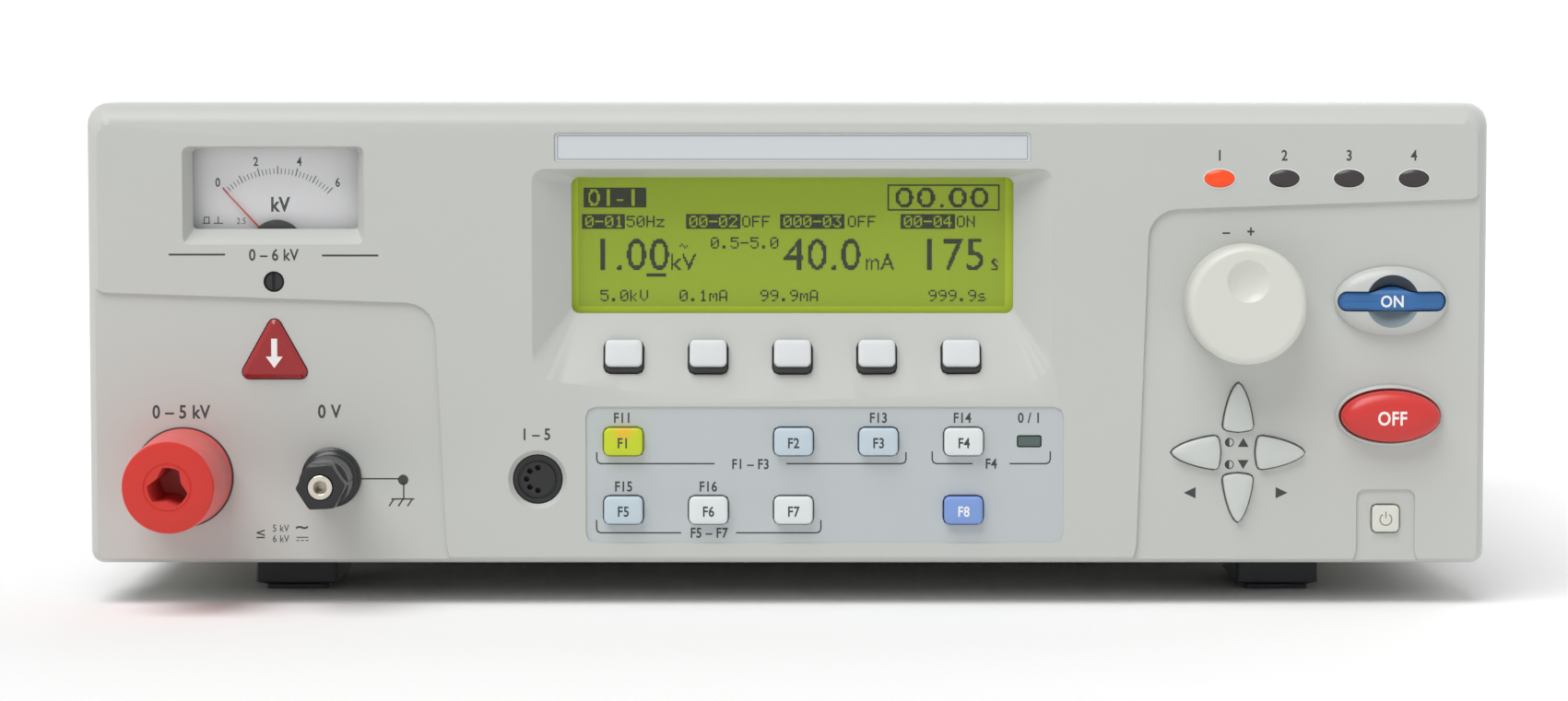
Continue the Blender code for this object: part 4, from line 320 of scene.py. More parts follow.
def grown(points, distance):
    """The outline moved out along the normals of its points, each the mean of those of its two sides."""
    before = points - np.roll(points, 1, axis=0)
    after = np.roll(points, -1, axis=0) - points
    before /= np.linalg.norm(before, axis=1)[:, None]
    after /= np.linalg.norm(after, axis=1)[:, None]
    first = np.column_stack((before[:, 1], -before[:, 0]))
    normal = first + np.column_stack((after[:, 1], -after[:, 0]))
    normal /= np.linalg.norm(normal, axis=1)[:, None]
    lean = np.maximum(0.5, (normal * first).sum(axis=1))
    return points + normal * (distance / lean)[:, None]


def outward(mesh):
    """Turns every face of a closed mesh outwards."""
    work = bmesh.new()
    work.from_mesh(mesh)
    bmesh.ops.recalc_face_normals(work, faces=work.faces)
    work.to_mesh(mesh)
    work.free()


def fitted(name, solid, material, body, seat=(0, 0, 0), stands_for=None, tilt=0.0, turn=40):
    """A closed piece from a solid (points, faces), whose +Y goes into the panel. It is turned about X by the
    tilt, moved to its seat, and stands for a CAD node where one is named."""
    points, faces = solid
    spin = np.array(Matrix.Rotation(tilt, 3, "X")).T
    mesh = bpy.data.meshes.new(name)
    mesh.from_pydata((np.asarray(points) @ spin + np.array(seat)).tolist(), [], faces)
    outward(mesh)
    smoothed(mesh, turn)
    piece = added(name, mesh, material, body)
    if stands_for:
        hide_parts(stands_for)
    return piece


def wrapped(grid, looped=False):
    """The solid under a skin over rows of points (row, around, xyz), capped at both ends unless looped."""
    rows, count = grid.shape[:2]
    here = np.arange(count)
    after = np.roll(here, -1)
    low = np.arange(rows if looped else rows - 1)[:, None] * count
    high = (low + count) % (rows * count)
    faces = np.stack((low + here, low + after, high + after, high + here), axis=-1).reshape(-1, 4).tolist()
    if not looped:
        faces += [here.tolist(), ((rows - 1) * count + here).tolist()]
    return grid.reshape(-1, 3), faces


def skin(layers, looped=False):
    """The solid through flat outlines (depth, points)."""
    rows = [np.column_stack((ring[:, 0], np.full(len(ring), y), ring[:, 1])) for y, ring in layers]
    return wrapped(np.array(rows), looped)


def pressed_cap(points, reach, dome, rounding, through, stub):
    """A cap's outlines: a domed top, which falls with the fourth power of the share, a quarter-round rim,
    straight sides, the flange behind the panel and a narrow stub."""
    top = grown(points, -rounding)
    middle = top.mean(axis=0)
    shares = (0.04, 0.35, 0.6, 0.8, 0.93, 1.0)
    layers = [(-reach - dome * (1 - s**4), middle + (top - middle) * s) for s in shares]
    for angle in np.radians((25, 50, 70, 90)):
        inset = rounding * (1 - math.sin(angle))
        layers.append((-reach + rounding * (1 - math.cos(angle)), grown(points, -inset)))
    back, flange = through + 0.0003, grown(points, 0.001)
    middle = points.mean(axis=0)
    post = middle + (points - middle) * 0.5
    layers += [(back, points), (back, flange), (back + 0.001, flange)]
    return layers + [(back + 0.001, post), (stub, post)]


def lettering(text, height, x=0.0, z=0.0, stretch=0.85, bold=0.021, anchor="CENTER"):
    """Flat letters as points (x, z) and faces. `height` is that of a capital, whose middle is at z."""
    curve = bpy.data.curves.new("letters", "FONT")
    curve.body = text
    curve.align_x = anchor
    curve.offset = bold
    curve.space_character = 1.05
    curve.resolution_u = 3
    holder = bpy.data.objects.new("letters", curve)
    bpy.context.scene.collection.objects.link(holder)
    mesh = bpy.data.meshes.new_from_object(holder.evaluated_get(bpy.context.evaluated_depsgraph_get()))
    capital = 0.682
    scale = height / capital
    flat = points_of(mesh)[:, :2].astype(float) * (scale * stretch, scale)
    faces = [list(polygon.vertices) for polygon in mesh.polygons]
    bpy.data.objects.remove(holder)
    bpy.data.curves.remove(curve)
    bpy.data.meshes.remove(mesh)
    return flat + (x, z - height / 2), faces


def printed(name, marks, surface, material, body):
    """Ink: one closed skin over all the marks (points, faces), from 0.02 mm over the surface to 0.01 mm
    under it. The surface is a depth Y, or a function of x and z."""
    over, under = 2e-5, 1e-5
    points, faces, start = [], [], 0
    for flat, polygons in marks:
        y = surface(flat[:, 0], flat[:, 1]) if callable(surface) else np.full(len(flat), surface)
        points.append(np.column_stack((flat[:, 0], y - over, flat[:, 1])))
        points.append(np.column_stack((flat[:, 0], y + under, flat[:, 1])))
        count = len(flat)
        sides = [side for face in polygons for side in zip(face, face[1:] + face[:1])]
        rim = np.array(sorted(set(sides) - {(b, a) for a, b in sides})) + start
        faces += [(np.array(face) + start).tolist() for face in polygons]
        faces += [(np.array(face[::-1]) + start + count).tolist() for face in polygons]
        faces += np.column_stack((rim[:, 1], rim[:, 0], rim[:, 0] + count, rim[:, 1] + count)).tolist()
        start += 2 * count
    mesh = bpy.data.meshes.new(name)
    mesh.from_pydata(np.concatenate(points).tolist(), [], faces)
    added(name, mesh, material, body)


def domed(x, z, half_width, half_height, top, dome):
    """The depth of a domed cap: it falls with the fourth power of the share of its half size at a point."""

    def depth(px, pz):
        share = np.maximum(np.abs(px - x) / half_width, np.abs(pz - z) / half_height)
        return top - dome * (1 - share**4)

    return depth


def key_plastic(name, code, roughness=0.36, mottle=0.012, lit=0.0):
    """The fine-skinned plastic of the keys."""
    return finish(name, code, roughness, grain=2200.0, relief=6e-6, mottle=mottle, lit=lit)


def distance_from(made, point):
    """How far a place is from a point, as a node's output."""
    away = made.node_tree.nodes.new("ShaderNodeVectorMath")
    away.operation = "DISTANCE"
    away.inputs[1].default_value = point
    made.node_tree.links.new(made.node_tree.nodes["place"].outputs["Object"], away.inputs[0])
    return away.outputs["Value"]


key_lit = key_plastic("key_lit", "BFCE20", mottle=0.03, lit=0.10)
low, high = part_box("function_key_withstand")
# Painted glow: the lit key's colour turns orange towards the top of its face.
painted_glow = key_lit.node_tree.nodes.new("ShaderNodeMapRange")
painted_glow.inputs["From Min"].default_value = 0.0045
painted_glow.inputs["From Max"].default_value = 0.0008
painted_glow.inputs["To Max"].default_value = 0.75
away = distance_from(key_lit, ((low.x + high.x) / 2, low.y, high.z - 0.0016))
key_lit.node_tree.links.new(away, painted_glow.inputs["Value"])
shaded_to(key_lit, "F0A23A", painted_glow.outputs["Result"])

plastic_of = {
    "pale_keys": key_plastic("key_pale", "C4D3DD"),
    "white_keys": key_plastic("key_white", "E2E7E8"),
    "blue_key": key_plastic("key_blue", "7E9EDD", mottle=0.02),
    "lit_key": key_lit,
}
slot_of = {entry["node"]: entry["material_slot"] for entry in frame["record"]["subparts"]}
legend_ink = finish("legend_ink", "3C3E3F", 0.55, relief=0.0, mottle=0.05)
white_ink = finish("white_ink", "F4F4F2", 0.5, relief=0.0, mottle=0.01)
key_reach, key_dome = 0.0024, 0.0002
function_key = skin(pressed_cap(panel(0.0118, 0.0083, 0.0017), key_reach, key_dome, 0.0006, 0.003, 0.0075))
for number, name in enumerate(
    ("withstand", "insulation", "system", "local", "auto", "recall", "enter", "shift"),
    start=1,
):
    name = "function_key_" + name
    slot = slot_of[name]
    x, z = middle_of(name)
    fitted(name + "_cap", function_key, plastic_of[slot], name, (x, face_y, z), name)
    ink, ink_slot = (white_ink, "white_ink") if slot == "blue_key" else (legend_ink, "legend_ink")
    top = domed(x, z, 0.0053, 0.00355, face_y - key_reach, key_dome)
    printed(name + "_print", [lettering(f"F{number}", 0.0030, x, z - 0.0003)], top, ink, name)


# The soft keys stand square on the sloping apron under the display. Each is a white cap, set towards the
# upper edge of the dark rubber key that it is snapped on, which shows as a dark band under it: partly the
# key and its gap, partly painted shade under the cap.
apron_tilt = -math.atan2(0.009, 0.026)
pan_bottom = panel_low + 0.0511
up_apron = 0.0126
soft_y, soft_z = face_y + up_apron * math.tan(-apron_tilt), pan_bottom + up_apron
soft_white = key_plastic("soft_white", "D9DCDE", 0.34)
# The dark key under each cap is partly a real dark key and gap, partly painted shade under the cap.
rubber_and_painted_shade = finish("rubber_and_painted_shade", "2E2C2E", 0.6, grain=1500.0, mottle=0.06)
soft_rubber_and_shade = skin(pressed_cap(panel(0.0119, 0.0102, 0.0019), 0.0020, 0.0, 0.0005, 0.002, 0.0045))
cap_outline = panel(0.0113, 0.0084, 0.0016) + (0, 0.0007)
cap_top = pressed_cap(cap_outline, 0.0034, 0.0002, 0.0005, 0.0, 0.0)[:10]
soft_cap = skin(cap_top + [(-0.0020, cap_outline)])
for number in range(1, 6):
    name = f"soft_key_{number}"
    seat = (middle_of(name)[0], soft_y, soft_z)
    fitted(name + "_rubber", soft_rubber_and_shade, rubber_and_painted_shade, name, seat, name, apron_tilt)
    fitted(name + "_cap", soft_cap, soft_white, name, seat, name, apron_tilt)


# The arrow keys: four petal-shaped caps in pale grey plastic round a small field of signs. The power button
# is a small square cap in warm white plastic, with the standby sign. Both stand in fields sunk in the bezel.
def petal_outline(width, length=0.0148, corner=0.0018):
    """A petal, tip up, over a rounded base. Half its width is W/2 (1 - s^1.5)^0.62 at the share s of its
    length."""
    share = np.concatenate((np.linspace(0, 0.12, 9), np.linspace(0.16, 0.985, 26)))
    half = width / 2 * (1 - share**1.5) ** 0.62
    rise = share * length
    base = np.clip(corner - rise, 0, None)
    half -= corner - np.sqrt(corner**2 - base**2)
    sag = -0.0004 * (1 - np.linspace(-0.8, 0.8, 7) ** 2)
    right = np.column_stack((half, rise))
    left = right[::-1] * (-1, 1)
    foot = np.column_stack((np.linspace(-half[0], half[0], 9)[1:-1], sag))
    return np.concatenate((right, np.array([(0.0, length)]), left, foot))


def turned(points, angle):
    """Flat points turned anticlockwise about the origin."""
    return points @ np.array([[math.cos(angle), math.sin(angle)], [-math.sin(angle), math.cos(angle)]])


def stroke(line, width, closed=False):
    """A band along a line of points, half its width to each side, with mitred joints."""
    line = np.asarray(line, float)
    forward = np.roll(line, -1, axis=0) - line
    if not closed:
        forward[-1] = forward[-2]
    forward /= np.linalg.norm(forward, axis=1)[:, None]
    back = np.roll(forward, 1, axis=0)
    if not closed:
        back[0] = forward[0]
    first = np.column_stack((-forward[:, 1], forward[:, 0]))
    normal = first + np.column_stack((-back[:, 1], back[:, 0]))
    normal /= np.linalg.norm(normal, axis=1)[:, None]
    reach = normal * (width / 2 / np.maximum(0.4, (normal * first).sum(axis=1)))[:, None]
    count = len(line)
    steps = np.arange(count if closed else count - 1)
    after = (steps + 1) % count
    faces = np.column_stack((steps, after, count + after, count + steps)).tolist()
    return np.concatenate((line - reach, line + reach)), faces


def arc(x, z, radius, first, last, steps=24):
    """Points along a circle from one angle to another, in degrees."""
    angles = np.radians(np.linspace(first, last, steps))
    return np.column_stack((x + radius * np.cos(angles), z + radius * np.sin(angles)))


sunk = 0.001
field_y = face_y + sunk
arrows_x = (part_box("arrow_key_left")[0].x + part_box("arrow_key_right")[1].x) / 2
arrows_z = (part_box("arrow_key_down")[0].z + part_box("arrow_key_up")[1].z) / 2
key_grey = key_plastic("key_grey", "CED2CF")
for way, angle, start, width in (
    ("up", 0.0, 0.0067, 0.0097),
    ("left", math.pi / 2, 0.0057, 0.0107),
    ("down", math.pi, 0.0067, 0.0097),
    ("right", -math.pi / 2, 0.0057, 0.0107),
):
    name = "arrow_key_" + way
    ring = turned(grown(petal_outline(width), -0.0002) + (0, start), angle)
    petal = skin(pressed_cap(ring, 0.0022, 0.0004, 0.0006, 0.002, 0.0065))
    fitted(name + "_cap", petal, key_grey, name, (arrows_x, field_y, arrows_z), name)

key_ivory = key_plastic("key_ivory", "DFE0D6")
x, z = middle_of("power_button")
power_floor, power_reach, power_dome = face_y + 0.0018, 0.0014, 0.0002
cap = skin(pressed_cap(panel(0.0082, 0.0082, 0.0014), power_reach, power_dome, 0.0005, 0.0012, 0.0057))
seat = (x, power_floor, z)
fitted("power_button_cap", cap, key_ivory, "power_button", seat, "power_button")
line_width = 0.00038
marks = [stroke(arc(x, z - 0.0002, 0.0018, 122, 418), line_width)]
marks.append(stroke([(x, z + 0.0002), (x, z + 0.0022)], line_width))
top = domed(x, z, 0.0036, 0.0036, power_floor - power_reach, power_dome)
sign_ink = finish("sign_ink", "8C8780", 0.55, relief=0.0, mottle=0.05)
printed("power_button_print", marks, top, sign_ink, "power_button")


# The entry knob: a hollow ivory cap with a soft finger dimple near its rim, pushed on the encoder's shaft.
# Its face is a polar grid, so that the dimple is part of the surface.
def knob_surface():
    """Rows of circles: the flat face sinks by a dish of 1 - a^2.4 round the dimple, the rim is a quarter of
    a superellipse, and the inner wall and the hub close the cap."""
    radius, length, lip = 0.0182, 0.017, 0.0022
    dimple_z, dimple_radius, dimple_depth = 0.0072, 0.0064, 0.0021
    angle = np.linspace(0, math.tau, 200, endpoint=False)
    s, a = np.meshgrid(np.linspace(0.0, 1.0, 78)[1:], angle, indexing="ij")
    r = s * (radius - lip)
    x, z = r * np.cos(a), r * np.sin(a)
    away = np.hypot(x, z - dimple_z) / dimple_radius
    dish = dimple_depth * np.clip(1 - away**2.4, 0, None) ** 0.9
    face = np.stack((x, -length + dish, z), axis=-1)
    t, a = np.meshgrid(np.linspace(0, math.pi / 2, 12)[1:], angle, indexing="ij")
    r = radius - lip + lip * np.sin(t) ** 0.9
    rim = np.stack((r * np.cos(a), -length + 0.0034 * (1 - np.cos(t)) ** 0.9, r * np.sin(a)), axis=-1)
    inner = [(-0.0012, radius), (-0.0005, radius - 0.0004), (-0.0005, 0.016), (-0.0125, 0.016)]
    inner += [(-0.0125, 0.0052), (-0.0065, 0.0052), (-0.0065, 0.0033), (-0.0125, 0.0033), (-0.0125, 0.0002)]
    depth, r = np.array(inner).T[:, :, None]
    back = np.stack((r * np.cos(angle), depth + 0 * angle, r * np.sin(angle)), axis=-1)
    return wrapped(np.concatenate((face, rim, back)))


knob_ivory = finish("knob_ivory", "DADBD3", 0.34, grain=2600.0, relief=5e-6, mottle=0.012)
x, z = middle_of("entry_knob")
seat = (x, field_y, z)
fitted("entry_knob_cap", knob_surface(), knob_ivory, "entry_knob", seat, "entry_knob")


# Start: a crowned oval ring in the bezel's grey with a round finger well, crossed by the blue bar that is
# pressed. The well is a cooler grey, with painted shade in its upper half. The ring is held from behind the
# panel.
def cutter_of(layers, seat=(0, 0, 0)):
    """A solid to cut with, which is taken away once it has cut."""
    points, faces = skin(layers)
    mesh = bpy.data.meshes.new("cutter")
    mesh.from_pydata((points + np.array(seat)).tolist(), [], faces)
    outward(mesh)
    made = bpy.data.objects.new("cutter", mesh)
    bpy.context.scene.collection.objects.link(made)
    return made


def carved(piece, cutters):
    """Cuts shapes out of a piece for good: the Boolean's result takes the place of its mesh."""
    for cutter in cutters:
        modifier = piece.modifiers.new("carve", "BOOLEAN")
        modifier.operation = "DIFFERENCE"
        modifier.solver = "EXACT"
        modifier.object = cutter
    graph = bpy.context.evaluated_depsgraph_get()
    mesh = bpy.data.meshes.new_from_object(piece.evaluated_get(graph))
    piece.modifiers.clear()
    old, piece.data = piece.data, mesh
    bpy.data.meshes.remove(old)
    for cutter in cutters:
        bpy.data.objects.remove(cutter)
    smoothed(mesh, 35)


ring_a, ring_b, well_radius = 0.0174, 0.0107, 0.0082


def crown(share, rise=0.0045):
    """The ring's height over the panel: rise times the root of 1 - s^4, at the share s of its half-width."""
    return rise * np.sqrt(np.clip(1 - share**4, 0, None))


def start_ring_surface():
    """Rows of ovals. A spherical dish sinks the inner rows below the crown, and the outer rows run from the
    well's circle to the ring's ellipse on the crown. A spigot goes through the panel."""
    gap, well_rise, well_depth, spigot_a, spigot_b = 0.0003, 0.0041, 0.0052, 0.0167, 0.0092
    angle = np.linspace(0, math.tau, 160, endpoint=False)
    edge = np.column_stack((ring_a * np.cos(angle), ring_b * np.sin(angle)))
    bearing = np.arctan2(edge[:, 1], edge[:, 0])
    rim = well_radius * np.column_stack((np.cos(bearing), np.sin(bearing)))
    rim_rise = crown(np.hypot(rim[:, 0] / ring_a, rim[:, 1] / ring_b))
    rows = []
    for s in np.linspace(0.03, 1, 20):
        dish = well_depth * (math.sqrt(1 - 0.8 * s * s) - math.sqrt(0.2)) / (1 - math.sqrt(0.2))
        height = rim_rise * s * s + well_rise * (1 - s * s) - dish
        rows.append(np.column_stack((rim[:, 0] * s, -gap - height, rim[:, 1] * s)))
    for s in np.concatenate((np.linspace(0.02, 0.9, 16), (0.95, 0.985, 1.0))):
        spot = rim * (1 - s) + edge * s
        height = crown(np.hypot(spot[:, 0] / ring_a, spot[:, 1] / ring_b))
        rows.append(np.column_stack((spot[:, 0], -gap - height, spot[:, 1])))
    for y in (-gap, 0.005):
        rows.append(np.column_stack((spigot_a * np.cos(angle), np.full(160, y), spigot_b * np.sin(angle))))
    return wrapped(np.array(rows))


bar_half, bar_rise, hump_half, hump_rise = 0.0163, 0.0028, 0.0066, 0.0017


def bar_outline():
    """The bar from the front: a stadium on cosine steps, whose upper side has a hump of (1 - (x/h)^2)^2."""
    x = bar_half * np.cos(np.linspace(0, math.pi, 91))
    past = np.clip(np.abs(x) - (bar_half - bar_rise), 0, None)
    rise = np.sqrt(np.clip(bar_rise**2 - past**2, 1e-10, None))
    hump = hump_rise * np.clip(1 - (x / hump_half) ** 2, 0, None) ** 2
    return np.concatenate((np.column_stack((x, rise + hump)), np.column_stack((x, -rise))[::-1]))


def bar_arch(px, pz):
    """The depth of the bar's top: 0.92 of the ring's crown, less a square law near the stadium's edge and a
    steeper one past it, where the hump falls away."""
    away = np.abs(pz)
    fall = np.clip((away - bar_rise + 0.0002) / hump_rise, 0, 1.2) ** 2
    near = np.clip((away / bar_rise - 0.64) / 0.36, 0, 1) ** 2
    return 0.0006 - 0.92 * crown(np.abs(px) / ring_a) + 0.0005 * near + 0.0016 * fall


def start_bar_surface():
    """Rows of the bar's outline drawn in towards its middle line, then the straight sides and the flange
    that keeps it behind the ring."""
    flat = bar_outline()
    spots = [flat * (1, s) for s in (0.02, 0.3, 0.5, 0.6, 0.7, 0.8, 0.9, 0.96, 1.0)]
    rows = [np.column_stack((spot[:, 0], bar_arch(spot[:, 0], spot[:, 1]), spot[:, 1])) for spot in spots]
    for y, grow in ((0.0053, 0.0), (0.0053, 0.001), (0.0063, 0.001)):
        spot = flat * (1 + grow / bar_half, 1 + grow / bar_rise)
        rows.append(np.column_stack((spot[:, 0], np.full(len(spot), y), spot[:, 1])))
    return wrapped(np.array(rows))


def bar_top(px, pz):
    """The bar's depth over a point of the face."""
    return field_y + bar_arch(px - start_x, pz - start_z)


start_x, start_z = middle_of("start_ring")
start_seat = (start_x, field_y, start_z)
ring_grey = finish("ring_grey", "C4C7C4", 0.3, grain=2600.0, relief=6e-6, mottle=0.015)
well_grey_and_painted_shade = finish("well_grey_and_painted_shade", "C4C7C4", 0.3, grain=2600.0, relief=6e-6, mottle=0.015)
away = distance_from(well_grey_and_painted_shade, (start_x, field_y - 0.0043, start_z))
in_well = reckoned(well_grey_and_painted_shade, "LESS_THAN", away, well_radius - 0.0001)
shaded_to(well_grey_and_painted_shade, "8E9B9E", in_well)
# Painted shade: the well's upper half, above the bar, is mixed to a dark grey.
painted_shade_upper_half = reckoned(well_grey_and_painted_shade, "GREATER_THAN", along(well_grey_and_painted_shade, "Z"), start_z)
shaded_to(well_grey_and_painted_shade, "4B5157", reckoned(well_grey_and_painted_shade, "MULTIPLY", in_well, painted_shade_upper_half))
ring = start_ring_surface()
ring = fitted("start_ring_shell", ring, well_grey_and_painted_shade, "case", start_seat, "start_ring")
play = 0.0003
slot_outline = bar_outline() * (1 + play / bar_half, 1 + play / bar_rise)
carved(ring, [cutter_of([(-0.01, slot_outline), (0.01, slot_outline)], start_seat)])
start_blue = finish("start_blue", "2E6AA8", 0.3, grain=2600.0, relief=4e-6, mottle=0.02)
bar = start_bar_surface()
fitted("start_bar", bar, start_blue, "start_button", start_seat, "start_button")
marks = [lettering("ON", 0.0034, start_x, start_z, 0.9)]
printed("start_print", marks, bar_top, white_ink, "start_button")


# Stop: a low oval cup in the bezel's grey, held from behind, and in it a domed red button on a stem.
# The dome's print follows its surface.
stop_x, stop_z = middle_of("stop_ring")
stop_seat = (stop_x, field_y, stop_z)
flange, mouth, stem = oval(0.0165, 0.0095), oval(0.0154, 0.0081), oval(0.0105, 0.0045)
layers = [(-0.0022, grown(mouth, 0.0002)), (-0.0025, grown(mouth, 0.0005))]
layers += [(-0.0022, grown(flange, -0.0004))]
layers += [(-0.0010, grown(flange, -0.0001)), (-0.0003, flange), (-0.0003, oval(0.0159, 0.0087))]
layers += [(0.0034, oval(0.0159, 0.0087)), (0.0034, grown(stem, 0.0003)), (0.0021, grown(stem, 0.0003))]
cup = skin(layers + [(0.0021, mouth)], looped=True)
fitted("stop_ring_shell", cup, ring_grey, "case", stop_seat, "stop_ring")

dome_a, dome_b, dome_base, dome_rise = 0.0151, 0.0078, 0.0045, 0.0035
draw_wide, draw_tall = 0.42, 0.72
head = oval(dome_a, dome_b)
layers = [(-0.00801, head * (0.30, 0.15))]
for angle in np.radians((88, 80, 70, 58, 45, 32, 18, 6)):
    draw = 1 - math.cos(angle)
    outline = head * (1 - draw_wide * draw, 1 - draw_tall * draw)
    layers.append((-dome_base - dome_rise * math.sin(angle), outline))
layers += [(-0.0007, head), (-0.0007, stem), (0.0037, stem), (0.0037, grown(stem, 0.001))]
layers += [(0.0047, grown(stem, 0.001)), (0.0047, grown(stem, -0.002)), (0.0052, grown(stem, -0.002))]
stop_red = finish("stop_red", "D2332F", 0.3, grain=2600.0, relief=4e-6, mottle=0.02)
fitted("stop_dome", skin(layers), stop_red, "stop_button", stop_seat, "stop_button")


def stop_dome_depth(px, pz):
    """The dome's depth over a point: the draw 1 - cos a is halved in until the oval of that draw runs
    through the point, and the height is the sine of a."""
    least, most = np.zeros(len(px)), np.ones(len(px))
    for _ in range(30):
        draw = (least + most) / 2
        wide = (px - stop_x) / dome_a / (1 - draw_wide * draw)
        tall = (pz - stop_z) / dome_b / (1 - draw_tall * draw)
        inside = wide**2 + tall**2 < 1
        least = np.where(inside, draw, least)
        most = np.where(inside, most, draw)
    return field_y - dome_base - dome_rise * np.sqrt(1 - (1 - least) ** 2)


marks = [lettering("OFF", 0.0040, stop_x, stop_z - 0.0004, 0.85)]
printed("stop_print", marks, stop_dome_depth, white_ink, "stop_button")


# The high voltage terminal: a tapered moulding in orange red, its sides made paler by a painted sheen, with
# a fine groove on its face and a keyed socket. A thin dark ring at its base is a painted shadow, and a nut
# behind the panel holds it.
def lathe(profile, count=96, looped=False):
    """The solid of revolution about Y through (depth, radius) points."""
    depth, radius = np.array(profile).T[:, :, None]
    angle = np.linspace(0, math.tau, count, endpoint=False)
    rows = np.stack((radius * np.cos(angle), depth + 0 * angle, radius * np.sin(angle)), axis=-1)
    return wrapped(rows, looped)


hv_x, hv_z = middle_of("hv_terminal")
hv_seat = (hv_x, field_y, hv_z)
profile = [(-0.034, 0.0002), (-0.034, 0.0068), (-0.0338, 0.00695), (-0.0338, 0.00725), (-0.034, 0.0074)]
profile += [(-0.034, 0.0131), (-0.03385, 0.0136), (-0.0334, 0.01385), (-0.0326, 0.0140), (-0.0040, 0.01487)]
profile += [(-0.0036, 0.01475), (-0.0033, 0.01490), (-0.0003, 0.0150), (-0.0003, 0.011), (0.014, 0.011)]
terminal_red = finish("terminal_red", "D22E22", 0.36, grain=2600.0, relief=8e-6, mottle=0.025)
# Painted sheen: the sides behind the front face are mixed to a paler pink.
painted_sheen_sides = reckoned(terminal_red, "GREATER_THAN", along(terminal_red, "Y"), face_y - 0.0325)
shaded_to(terminal_red, "EA5C58", painted_sheen_sides)
shell = lathe(profile)
shell = fitted("hv_terminal_shell", shell, terminal_red, "case", hv_seat, "hv_terminal")
lobe = [(-24, 6.3), (-8, 6.15), (8, 6.15), (24, 6.3), (34, 5.4), (46, 4.7), (60, 4.3), (74, 4.7), (86, 5.4)]
turn, reach = np.array(lobe).T
turn = np.radians(np.concatenate([turn - 40 + 120 * number for number in range(3)]))
star = np.column_stack((np.cos(turn), np.sin(turn))) * np.tile(reach, 3)[:, None] / 1000
carved(shell, [cutter_of([(-0.038, star), (-0.009, star * 0.92)], hv_seat)])
# A thin dark ring round the terminal's base: a painted shadow.
base_shadow_dark = finish("base_shadow_dark", "3A3335", 0.6, grain=1500.0, mottle=0.06)
profile = [(-0.00045, 0.01505), (-0.00045, 0.0153), (-0.0003, 0.0155), (0.0, 0.0155), (0.0, 0.01505)]
fitted("hv_base_shadow", lathe(profile, looped=True), base_shadow_dark, "case", hv_seat)


# The low terminal: a black moulded base, a nickel-plated stud with a bore for a plug pin, and a screw cap
# with six flats, each with a scalloped end.
low_x, low_z = middle_of("low_terminal_base")
low_seat = (low_x, field_y, low_z)
terminal_black = finish("terminal_black", "17181B", 0.26, grain=2200.0, mottle=0.08, edge=0.0003)
profile = [(-0.0173, 0.0069), (-0.0170, 0.0073), (-0.0165, 0.0074), (-0.0052, 0.0074), (-0.0048, 0.0080)]
profile += [(-0.0044, 0.0084), (-0.0022, 0.0084), (-0.0019, 0.0087), (-0.0015, 0.0092), (-0.0003, 0.0092)]
profile += [(-0.0003, 0.0058), (0.009, 0.0058), (0.009, 0.0039), (-0.0173, 0.0039)]
base = lathe(profile, looped=True)
fitted("low_terminal_body", base, terminal_black, "case", low_seat, "low_terminal_base")
profile = [(-0.0335, 0.0033), (-0.0333, 0.0036), (0.013, 0.0036), (0.013, 0.0010), (-0.0135, 0.0010)]
profile += [(-0.0135, 0.00205), (-0.0333, 0.00205), (-0.0335, 0.0023)]
nickel = finish("nickel", "CFC9BE", 0.2, 1.0, grain=300.0, relief=4e-6, mottle=0.05)
tube = lathe(profile, 64, looped=True)
fitted("low_terminal_tube", tube, nickel, "case", low_seat, "low_terminal_stud")
profile = [(-0.0331, 0.0045), (-0.0331, 0.0062), (-0.0326, 0.00715), (-0.0318, 0.0075), (-0.0190, 0.0075)]
profile += [(-0.0184, 0.0075), (-0.0178, 0.0071), (-0.0176, 0.0066), (-0.0176, 0.0039), (-0.0329, 0.0039)]
name = "low_terminal_cap"
nut = lathe(profile, looped=True)
nut = fitted("low_terminal_nut", nut, terminal_black, name, low_seat, name)
flat = np.array([(0.0065, -0.006), (0.012, -0.006), (0.012, 0.006), (0.0065, 0.006)])
cutters = []
for angle in np.radians(np.arange(33, 393, 60)):
    layers = [(-0.036, turned(flat, angle)), (-0.0236, turned(flat, angle))]
    layers += [(-0.0216, turned(flat + (0.0036, 0), angle))]
    cutters.append(cutter_of(layers, low_seat))
carved(nut, cutters)


# The remote socket: a black moulded disc with five pin holes and a key notch, sunk in its ring. Its solid
# has the whole shape, so a merged copy in the low terminal's black stands for it.
softened("remote_socket", terminal_black)


# The lamps: four oval lenses on one bar, of which the first is lit, and a rectangular one beside the keys.
# Each oval has a pale rim, a painted highlight round its edge. The danger lamp is a deep red triangular
# lens, bevelled, with a white arrow.
lens_smoke = finish("lens_smoke", "332C2E", 0.2, relief=0.0, mottle=0.1)
lens_green = finish("lens_green", "52615D", 0.2, relief=0.0, mottle=0.06)
lens_glow = finish("lens_glow", "EC4200", 0.2, relief=0.0, mottle=0.08, lit=0.32)
